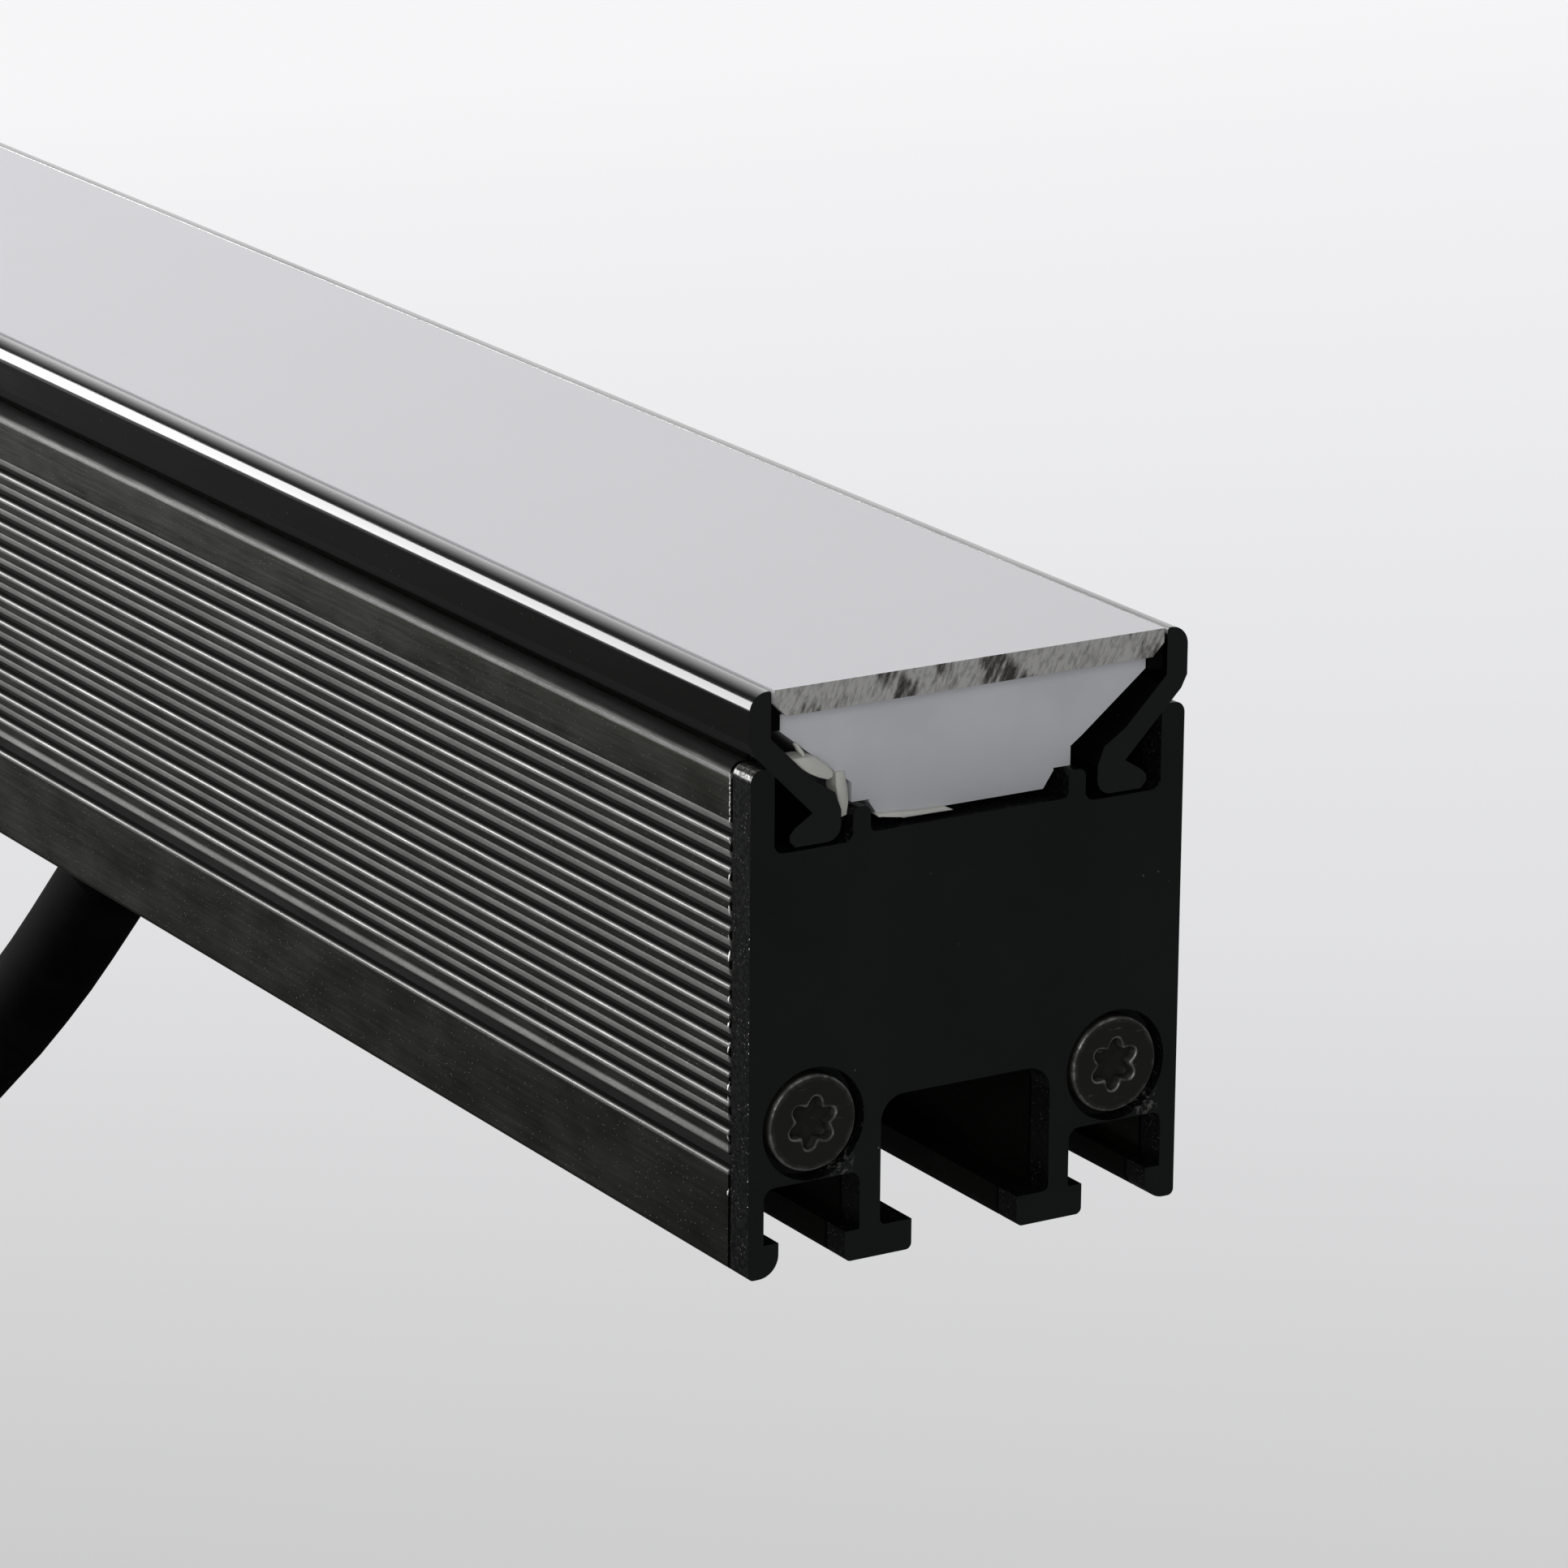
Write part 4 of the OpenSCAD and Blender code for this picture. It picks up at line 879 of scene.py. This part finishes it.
@dataclass
class Studio:
    """Camera, floor, lamps and sky.

    The camera comes from a fit to the straight edges of the light in the photograph.
    """

    focal_px: float = 8767.0
    azimuth: float = 58.7
    elevation: float = 16.73
    roll: float = 0.43
    corner: Point = (0.150, -0.019, 0.0)
    corner_px: tuple[float, float] = (921.2, 1580.0)
    depth: float = 0.5267
    clip: tuple[float, float] = (0.01, 50)
    floor_z: float = -0.2795
    floor_reach: float = 6
    lit_share: float = 0.95
    sky: float = 0.15
    sky_dim: Colour = (0.94, 0.95, 0.97)
    sky_pale: Colour = (0.93, 0.93, 0.94)
    gloss_share: float = 0.065
    paper: Colour = (0.3, 0.3, 0.3)
    paper_mirrored: Colour = (0.04, 0.04, 0.04)
    bright_mm: tuple[float, float] = (700.0, 1000.0)
    bright_rise: tuple[float, float] = (0.46, 0.3)
    fade_mm: tuple[float, float] = (340.0, 1800.0)
    fade_twist: float = 3.5e-7
    fade_middle: float = 900.0
    fade: tuple[tuple[float, Colour], ...] = (
        (0.0, (0.57, 0.57, 0.568)), (0.12, (0.65, 0.65, 0.655)), (0.33, (0.785, 0.785, 0.8)),
        (0.62, (0.88, 0.88, 0.895)), (1.0, (0.97, 0.965, 0.98)))
    lamps: list[tuple[str, Point, Point, tuple[float, float], float]] = field(default_factory=lambda: [
        ("key_above", (-0.2, -0.1, 0.8), (0.0, 0, 0.03), (0.9, 0.6), 5.1),
        ("softbox_left", (-1.3, -0.8, 0.296), (0.05, 0, 0.03), (0.87, 0.73), 28.5),
        ("fill_front", (0.9, -0.5, 0.3), (0.1, 0, 0.02), (0.5, 0.7), 2.5),
    ])

    def make_camera(self) -> None:
        """Places the camera so that the near low corner falls on its pixel."""
        a, e, r = (math.radians(v) for v in (self.azimuth, self.elevation, self.roll))
        ahead = Vector((-math.sin(a) * math.cos(e), math.cos(a) * math.cos(e), -math.sin(e)))
        right = Vector((math.cos(a), math.sin(a), 0))
        up = right.cross(ahead)
        right, up = right * math.cos(r) + up * math.sin(r), up * math.cos(r) - right * math.sin(r)
        half = IMAGE_SIDE / 2
        over = (self.corner_px[0] - half) * self.depth / self.focal_px
        above = (half - self.corner_px[1]) * self.depth / self.focal_px
        spot = Vector(self.corner) - right * over - up * above - ahead * self.depth
        data = bpy.data.cameras.new("camera")
        data.sensor_fit = "HORIZONTAL"
        data.sensor_width = SENSOR_MM
        data.lens = self.focal_px * SENSOR_MM / IMAGE_SIDE
        data.clip_start, data.clip_end = self.clip
        camera = bpy.data.objects.new("camera", data)
        turn = Matrix((right, up, -ahead)).transposed().to_4x4()
        camera.matrix_world = Matrix.Translation(spot) @ turn
        bpy.context.scene.collection.objects.link(camera)
        bpy.context.scene.camera = camera

    def seen(self, bench: PaintBench, gloss: "Socket | float") -> Socket:
        """How far a ray sees the pale backdrop: wholly from the camera or through glass.

        Args:
            bench: the material's workbench.
            gloss: its share for a reflected ray.

        Returns:
            A share from 0 to 1.
        """
        camera, glossy, through = (bench.node("ShaderNodeLightPath", output=f"Is {kind} Ray")
                                   for kind in ("Camera", "Glossy", "Transmission"))
        return bench.clamp(camera + through + glossy * gloss)

    def make_floor(self) -> None:
        """Lays a plain pale floor under the lead, with a soft gradient for the camera."""
        bench = PaintBench("floor_paper")
        a = math.radians(self.azimuth)
        away = bench.axis("Y") * math.cos(a) - bench.axis("X") * math.sin(a)
        aside = bench.axis("X") * math.cos(a) + bench.axis("Y") * math.sin(a)
        low, high = self.fade_mm
        share = bench.clamp((away - low) * (1 / (high - low))
                            - aside * (away - self.fade_middle) * self.fade_twist)
        gloss = bench.step(away, *self.bright_mm) * (1 - self.gloss_share) + self.gloss_share
        tone = bench.node("ShaderNodeValToRGB", {"stops": self.fade}, {0: share})
        glossy = bench.node("ShaderNodeLightPath", output="Is Glossy Ray")
        paper = bench.mix(glossy, self.paper, self.paper_mirrored)
        matte = bench.node("ShaderNodeBsdfDiffuse", None, {"Color": paper})
        lit = bench.node("ShaderNodeEmission", None, {"Color": tone, "Strength": 1.0})
        seen = self.seen(bench, gloss) * self.lit_share
        bench.show(bench.node("ShaderNodeMixShader", None, {0: seen, 1: matte, 2: lit}))
        shape = bmesh.new()
        bmesh.ops.create_grid(shape, x_segments=8, y_segments=8, size=self.floor_reach)
        bmesh.ops.translate(shape, verts=shape.verts, vec=(0, 0, self.floor_z))
        add_piece("floor", take_mesh("floor", shape, None), bench.material)

    def make_light(self) -> None:
        """Sets plain soft lamps and a pale sky."""
        for name, spot, target, size, power in self.lamps:
            data = bpy.data.lights.new(name, "AREA")
            data.shape = "RECTANGLE"
            data.size, data.size_y = size
            data.energy = power
            lamp = bpy.data.objects.new(name, data)
            aim = (Vector(target) - Vector(spot)).to_track_quat("-Z", "Y")
            lamp.matrix_world = Matrix.Translation(spot) @ aim.to_matrix().to_4x4()
            bpy.context.scene.collection.objects.link(lamp)
        world = bpy.data.worlds.new("sky")
        world.use_nodes = True
        bench = PaintBench("sky", world)
        dim, pale = (bench.node("ShaderNodeBackground", None, {"Color": (*colour, 1), "Strength": strength})
                     for colour, strength in ((self.sky_dim, self.sky), (self.sky_pale, 1.0)))
        aim = bench.node("ShaderNodeTexCoord", output="Generated")
        x, y, z = (bench.part(aim, axis) for axis in "XYZ")
        a = math.radians(self.azimuth)
        ahead = bench.step(y * math.cos(a) - x * math.sin(a), 0.5, 0.8) * bench.step(z, *self.bright_rise)
        gloss = ahead * (1 - self.gloss_share) + self.gloss_share
        sky = bench.node("ShaderNodeMixShader", None, {0: self.seen(bench, gloss), 1: dim, 2: pale})
        bench.show(sky, "ShaderNodeOutputWorld")
        bpy.context.scene.world = world
        bpy.context.scene.view_settings.view_transform = "Standard"

    def build(self) -> None:
        """Builds the camera, floor and light."""
        self.make_camera()
        self.make_floor()
        self.make_light()
        LOG.info("studio: camera, floor and %d lamps", len(self.lamps))


@dataclass
class PowerLead(Assembly):
    """Rubber lead that hangs from the elbow boot down to the connector on its end."""

    diameter: float = 0.009
    route_mm: tuple[tuple[float, float], ...] = (
        (5.8, -8.95), (-1, -15.5), (-10, -24), (-20, -32.5), (-31, -41), (-41.5, -50), (-51, -60.5),
        (-59, -72), (-65, -85), (-68.5, -99), (-70, -113), (-70, -130), (-70, -150), (-70, -172),
        (-70, -194), (-70, -215), (-70, -235))
    with_pieces: tuple[str, ...] = ("connector_boot", "connector_shell", "connector_o_ring",
                                    "contact_insert", "contact_pins", "coupling_ring")

    def smooth_route(self, steps: int = 2) -> list[Vector]:
        """Adds Catmull-Rom points between the given ones.

        Args:
            steps: parts that each stretch is cut into.

        Returns:
            The points, in metres.
        """
        given = [Vector((x * MM, 0, z * MM)) for x, z in self.route_mm]
        padded = [given[0] * 2 - given[1], *given, given[-1] * 2 - given[-2]]
        route = []
        for before, start, end, after in zip(padded, padded[1:], padded[2:], padded[3:]):
            for step in range(steps):
                share = step / steps
                route.append(0.5 * (2 * start + (end - before) * share
                                    + (2 * before - 5 * start + 4 * end - after) * share ** 2
                                    + (3 * start - before - 3 * end + after) * share ** 3))
        return route + [given[-1]]

    def build(self, wardrobe: Wardrobe) -> None:
        route = self.smooth_route()
        data = bpy.data.curves.new("power_lead", "CURVE")
        data.dimensions = "3D"
        data.bevel_depth = self.diameter / 2
        data.bevel_resolution = 10
        data.use_fill_caps = True
        line = data.splines.new("POLY")
        line.points.add(len(route) - 1)
        for point, place in zip(line.points, route):
            point.co = (*place, 1)
        line.use_smooth = True
        lead = bpy.data.objects.new("power_lead", data)
        data.materials.append(wardrobe.get(Look.CABLE))
        bpy.context.scene.collection.objects.link(lead)
        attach(lead, LUMINAIRE)
        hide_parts("power_cable")
        length = sum((b - a).length for a, b in zip(route, route[1:]))
        LOG.info("lead: %.0f mm of cable and its connector", length / MM)


@dataclass
class EndScrews(Assembly):
    """Four self-tapping screws with a six-lobe recess, two in each end plate. Sizes in mm."""

    seat_x: float = 148.3
    seat_y: float = 13.4
    seat_z: float = 11.45
    head_r: float = 3.75
    head_t: float = 1.6
    root_r: float = 1.6
    length: float = 10.0
    lobe_mean: float = 1.76
    lobe_swing: float = 0.34
    recess: float = 1.1
    thread: float = 0.7
    turn: float = math.radians(20)
    drift: float = 0.09
    points_round: int = 72

    def lobed(self, share: float, more: float) -> Callable[[float], float]:
        """Outline of the recess, scaled and widened."""
        return lambda turn: share * (self.lobe_mean + self.lobe_swing * math.cos(6 * turn)
                                     - 0.05 * math.cos(12 * turn)) + more

    def rings(self) -> list[Ring]:
        """Rings from the floor of the recess over the head and down to the tip."""
        top, head, root = self.head_t, self.head_r, self.root_r
        floor = top - self.recess
        # The last number of a row is its tint share: the recess edge and the rim are rubbed and carry a
        # painted highlight.
        recess = ((0.5, 0, floor - 0.08, 0), (0.94, 0, floor, 0), (1, 0, floor + 0.12, 0),
                  (1, 0, top - 0.13, 0.2), (1, 0.05, top - 0.04, 0.9), (1, 0.13, top, 0.7),
                  (0.8, 0.62, top, 0), (0.3, 1.95, top, 0))
        rim = ((0.5, 0, 0), (0.2, 0.01, 0.1), (0.12, 0.035, 0.9), (0.04, 0.1, 1), (0, 0.2, 0.5), (0, 0.4, 0))
        rings = [hoop(0, floor - 0.25)]
        rings += [Ring(self.lobed(share, more), rise, worn) for share, more, rise, worn in recess]
        rings += [hoop(head - back, top - down, worn) for back, down, worn in rim]
        rings += [hoop(head, 0), hoop(root, 0)]
        for turn in range(1, int(self.length / self.thread) - 1):
            depth = -self.thread * turn
            rings += [hoop(root - 0.25, depth + 0.45), hoop(root, depth + 0.1), hoop(root, depth)]
        return rings + [hoop(root - 0.5, 0.3 - self.length), hoop(0, -self.length)]

    def build(self, wardrobe: Wardrobe) -> None:
        """Sets the screws in both end plates (see Assembly.build)."""
        material = wardrobe.get(Look.SCREW)
        pattern = lathe("screw_pattern", self.rings(), self.points_round, 0)
        bench = GrowBench("end_screws")
        screw = bench.pattern("Screw", pattern)
        seat = bench.given("Seat", "Vector", (self.seat_x * MM, -self.seat_y * MM, self.seat_z * MM))
        apart = bench.given("Distance", "Float", 2 * self.seat_y * MM)
        turn = bench.given("Turn", "Float", self.turn)
        line = bench.line(2, seat, bench.vector(0.0, apart, 0.0))
        drift = bench.node("GeometryNodeInputIndex") * self.drift + turn
        both = bench.both_ways(bench.copies(line, screw, Rotation=bench.spin(drift)))
        piece = add_piece("end_screws", bench.grow(both, material), material)
        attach(piece, LUMINAIRE)
        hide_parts("end_screws_right", "end_screws_left")
        bpy.data.objects.remove(pattern)
        LOG.info("end screws: 4, %d faces", len(piece.data.polygons))


@dataclass
class GrooveFlanks(Assembly):
    """Sloping upper flanks of the side grooves, which catch the light from below. Sizes in mm."""

    count: int = 11
    first_z: float = 34.8
    pitch: float = 2.26
    face_y: float = 19.0
    end_x: float = 147.08
    # Tint share of the flank's outer part, which paints it lighter as a painted highlight.
    worn: float = 0.9
    profile: tuple[tuple[float, float], ...] = (
        (-0.012, 0.12), (-0.012, 0.0), (0.012, -0.1), (0.05, -0.22), (0.1, -0.34), (0.17, -0.45),
        (0.27, -0.55), (0.4, -0.62), (0.8, -0.65), (0.8, 0.12))

    def pattern(self) -> bpy.types.Object:
        """One flank along the whole body, outside the scene."""
        shape = bmesh.new()
        layer = shape.verts.layers.float.new(TINT_MARK)
        rows = []
        for end in (-self.end_x, self.end_x):
            row = [shape.verts.new((end * MM, (depth - self.face_y) * MM, rise * MM))
                   for depth, rise in self.profile]
            for point, (depth, _) in zip(row, self.profile):
                point[layer] = self.worn if depth < 0.5 else 0.0
            rows.append(row)
        prism(shape, rows)
        bmesh.ops.recalc_face_normals(shape, faces=shape.faces)
        return bpy.data.objects.new("flank_pattern", take_mesh("flank_pattern", shape))

    def build(self, wardrobe: Wardrobe) -> None:
        """Sets a flank in every groove on both sides (see Assembly.build)."""
        material = wardrobe.get(Look.ANODISED)
        pattern = self.pattern()
        bench = GrowBench("groove_flanks")
        flank = bench.pattern("Flank", pattern)
        count = bench.given("Count", "Int", self.count)
        first = bench.given("First groove", "Float", self.first_z * MM)
        pitch = bench.given("Pitch", "Float", self.pitch * MM)
        line = bench.line(count, bench.vector(0.0, 0.0, first), bench.vector(0.0, 0.0, pitch * -1.0))
        both = bench.both_ways(bench.copies(line, flank))
        piece = add_piece("groove_flanks", bench.grow(both, material), material)
        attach(piece, LUMINAIRE)
        bpy.data.objects.remove(pattern)
        LOG.info("groove flanks: %d on each side", self.count)


@dataclass
class LightPackages(Assembly):
    """Row of light sources: white packages with a domed pool of phosphor."""

    count: int = 18
    side: float = 3.5
    wall: float = 0.42
    lip: float = 0.72
    squareness: int = 9
    points_round: int = 32

    def square(self, half: float) -> Callable[[float], float]:
        """Outline of a square with rounded corners."""
        p = self.squareness
        return lambda turn: half * (abs(math.cos(turn)) ** p + abs(math.sin(turn)) ** p) ** (-1 / p)

    def rings(self, height: float) -> list[Ring]:
        """Lists the rings of a package.

        Args:
            height: of the package, in mm.

        Returns:
            Rings from the middle of the foot to the top of the dome.
        """
        half, lip, pool, edge = self.side / 2, height * self.lip, self.side / 2 - self.wall, 0.08
        return [hoop(0, 0), Ring(self.square(half), 0), Ring(self.square(half), lip - edge),
                Ring(self.square(half - edge), lip), hoop(pool, lip), hoop(pool - 0.04, lip - 0.1),
                hoop(pool - 0.05, lip - 0.08, 1), hoop(pool * 0.75, height * 0.88, 1),
                hoop(pool * 0.4, height * 0.97, 1), hoop(0, height, 1)]

    def build(self, wardrobe: Wardrobe) -> None:
        """Sets the packages along the board (see Assembly.build)."""
        material = wardrobe.get(Look.PHOSPHOR)
        low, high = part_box("light_sources")
        pattern = lathe("package_pattern", self.rings((high[2] - low[2]) / MM), self.points_round, 2)
        bench = GrowBench("light_packages")
        package = bench.pattern("Package", pattern)
        count = bench.given("Count", "Int", self.count)
        start = bench.given("Start", "Float", low[0] + self.side / 2 * MM)
        pitch = bench.given("Pitch", "Float", (high[0] - low[0] - self.side * MM) / (self.count - 1))
        line = bench.line(count, bench.vector(start, 0.0, low[2]), bench.vector(pitch, 0.0, 0.0))
        row = bench.copies(line, package)
        piece = add_piece("light_packages", bench.grow(row, material), material)
        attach(piece, LUMINAIRE)
        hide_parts("light_sources")
        bpy.data.objects.remove(pattern)
        LOG.info("light packages: %d", self.count)


@dataclass
class SawnEdges(Assembly):
    """Burrs of bare metal on the sawn rib ends, and small chips on the end plates' corners. Sizes in mm."""

    seam_x: float = 147.06
    plate_x: float = 149.93
    face_y: float = 18.985
    ribs: int = 13
    rib_pitch: float = 2.26
    first_rib_z: float = 33.1
    band_z: float = 35.1
    band_pitch: float = 0.33
    band_count: int = 11
    plate_z: float = 1.5
    plate_pitch: float = 0.9
    plate_count: int = 40
    chip: float = 0.055
    stray: float = 0.25
    tilt: float = 0.3
    seed: int = 7

    def flakes(self, bench: GrowBench, flake: Socket, start: Point, step: Point, count: int,
               size: tuple[Point, Point], kept: float, seed: int) -> Socket:
        """One line of flakes.

        Args:
            bench: the tree's workbench.
            flake: geometry of one flake.
            start: first place.
            step: from one place to the next.
            count: number of places.
            size: smallest and largest flake.
            kept: share of the places that have a flake.
            seed: seed of the random numbers.

        Returns:
            The flakes, as instances.
        """
        line = bench.line(count, tuple(c * MM for c in start), tuple(c * MM for c in step))
        reach = abs(step[2]) * self.stray * MM
        moved = bench.node("GeometryNodeSetPosition", None, {
            "Geometry": line, "Offset": bench.vector(0.0, 0.0, bench.chance(-reach, reach, seed))})
        scale = bench.vector(*(bench.chance(low * MM, high * MM, seed + 1 + way)
                               for way, (low, high) in enumerate(zip(*size))))
        wanted = bench.math("LESS_THAN", bench.chance(0.0, 1.0, seed + 5), kept)
        tilt = bench.spin(bench.chance(-self.tilt, self.tilt, seed + 6))
        return bench.copies(moved, flake, Selection=wanted, Rotation=tilt, Scale=scale)

    def build(self, wardrobe: Wardrobe) -> None:
        """Scatters the flakes at both ends and on both sides (see Assembly.build)."""
        material = wardrobe.get(Look.CHIP)
        bench = GrowBench("sawn_edges")
        size = bench.given("Flake size", "Float", 1.0)
        flake = bench.node("GeometryNodeMeshIcoSphere", None, {"Radius": size, "Subdivisions": 2})
        lines = []
        t = self.chip
        for corner, (end, side) in enumerate(((1, -1), (1, 1), (-1, -1), (-1, 1))):
            seed = self.seed + 40 * corner
            x, y, edge = end * self.seam_x, side * self.face_y, end * self.plate_x
            lines += [
                self.flakes(bench, flake, (x, y, self.first_rib_z), (0, 0, -self.rib_pitch), self.ribs,
                            ((t * 1.2, t * 0.5, 0.24), (t * 1.9, t * 0.9, 0.45)), 0.9, seed),
                self.flakes(bench, flake, (x, y, self.band_z), (0, 0, self.band_pitch), self.band_count,
                            ((t * 1.1, t * 0.5, 0.14), (t * 1.7, t * 0.8, 0.3)), 0.95, seed + 10),
                self.flakes(bench, flake, (edge, y, self.plate_z), (0, 0, self.plate_pitch), self.plate_count,
                            ((t * 0.5, t * 0.4, 0.04), (t, t * 0.7, 0.14)), 0.3, seed + 20),
            ]
        piece = add_piece("sawn_edges", bench.grow(bench.join(*lines), material), material)
        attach(piece, LUMINAIRE)
        LOG.info("sawn edges: %d faces", len(piece.data.polygons))


@dataclass
class SealantTraces(Assembly):
    """Cream traces of sealant round the plugs, seen at the open ends. Outlines are (y, z) in mm."""

    end_x: float = 150.0
    traces: tuple[tuple[float, float, tuple[tuple[float, float], ...]], ...] = (
        (0.35, 2.2, ((-15.35, 39.72), (-14.3, 39.72), (-13.25, 39.62), (-12.4, 38.95), (-11.72, 38.3),
                     (-11.75, 37.85), (-12.2, 37.72), (-12.95, 38.0), (-13.8, 38.45), (-14.6, 39.0))),
        (0.9, 2.4, ((-11.2, 38.0), (-10.45, 38.0), (-10.2, 36.8), (-10.05, 35.6), (-10.2, 34.6),
                    (-10.8, 34.45), (-10.95, 35.6), (-11.15, 36.9))),
        (0.75, 1.5, ((-7.75, 34.3), (-7.45, 33.98), (-5.9, 33.92), (-5.45, 33.66), (-0.95, 33.62),
                     (-1.7, 33.98), (-4.5, 34.05), (-5.6, 34.2))),
        (0.5, 1.0, ((-14.95, 40.75), (-14.7, 40.8), (-14.25, 40.2), (-14.0, 39.75), (-14.2, 39.7),
                    (-14.6, 40.2))),
    )
    softness: float = 0.1

    def slab(self, shape: bmesh.types.BMesh, outline: tuple[tuple[float, float], ...],
             low: float, high: float) -> None:
        """Adds one trace with softened edges.

        Args:
            shape: mesh that receives it.
            outline: its outline across the body.
            low: where it starts along X.
            high: where it ends along X.
        """
        rows = [[shape.verts.new((x * MM, y * MM, z * MM)) for y, z in outline] for x in (low, high)]
        edges = {edge for face in prism(shape, rows) for edge in face.edges}
        bmesh.ops.bevel(shape, geom=list(edges), offset=self.softness * MM, segments=3, profile=0.5,
                        affect="EDGES")

    def build(self, wardrobe: Wardrobe) -> None:
        """Lays the traces at both ends (see Assembly.build)."""
        shape = bmesh.new()
        for back, reach, outline in self.traces:
            self.slab(shape, outline, self.end_x - reach, self.end_x - back)
            self.slab(shape, tuple((-y, z) for y, z in outline), reach - self.end_x, back - self.end_x)
        bmesh.ops.recalc_face_normals(shape, faces=shape.faces)
        mesh = take_mesh("sealant_traces", shape, 60)
        piece = add_piece("sealant_traces", mesh, wardrobe.get(Look.SEALANT))
        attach(piece, LUMINAIRE)
        LOG.info("sealant traces: %d faces", len(mesh.polygons))


@dataclass
class CarriedSolids(Assembly):
    """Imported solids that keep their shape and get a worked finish."""

    looks: dict[Look, tuple[str, ...]] = field(default_factory=lambda: {
        Look.ANODISED: ("housing",),
        Look.PLATE: ("end_plate_right", "end_plate_left"),
        Look.SEAL: ("end_gasket_right", "end_gasket_left", "glass_seal_front", "glass_seal_back",
                    "gland_seal", "wire_grommet"),
        Look.SCREW: ("end_screws_right", "end_screws_left"),
        Look.STEEL: ("board_screws",),
        Look.CLIP: ("clip_strip_front", "clip_strip_back"),
        Look.COVER: ("cover_glass",),
        Look.TROUGH: ("reflector_trough",),
        Look.PLUG: ("end_plug_right", "end_plug_left"),
        Look.PAD: ("thermal_pad",),
        Look.LED_BOARD: ("led_board",),
        Look.PHOSPHOR: ("light_sources",),
        Look.WIRE: ("led_wires", "input_wires"),
        Look.TRAY: ("driver_tray",),
        Look.DRIVER_BOARD: ("driver_board",),
        Look.FERRITE: ("driver_transformer", "driver_inductors", "driver_chips"),
        Look.SLEEVE: ("driver_capacitors",),
        Look.TERMINAL: ("terminal_block",),
        Look.NYLON: ("gland_body", "gland_locknut", "connector_shell", "coupling_ring"),
        Look.CABLE: ("elbow_boot", "connector_boot", "contact_insert", "power_cable"),
        Look.O_RING: ("connector_o_ring",),
        Look.GOLD: ("contact_pins",),
    })

    def build(self, wardrobe: Wardrobe) -> None:
        """Dresses every solid (see Assembly.build)."""
        for look, nodes in self.looks.items():
            for node in nodes:
                wardrobe.dress_node(node, look)
        LOG.info("solids: %d dressed", sum(len(nodes) for nodes in self.looks.values()))


def main() -> None:
    """Builds the studio, then every sub-assembly of the light."""
    logging.basicConfig(level=logging.INFO, format="%(message)s")
    wardrobe = Wardrobe()
    Studio().build()
    for assembly in (PowerLead(), EndScrews(), GrooveFlanks(), LightPackages(), SawnEdges(),
                     SealantTraces(), CarriedSolids()):
        assembly.build(wardrobe)


if __name__ == "__main__":
    main()
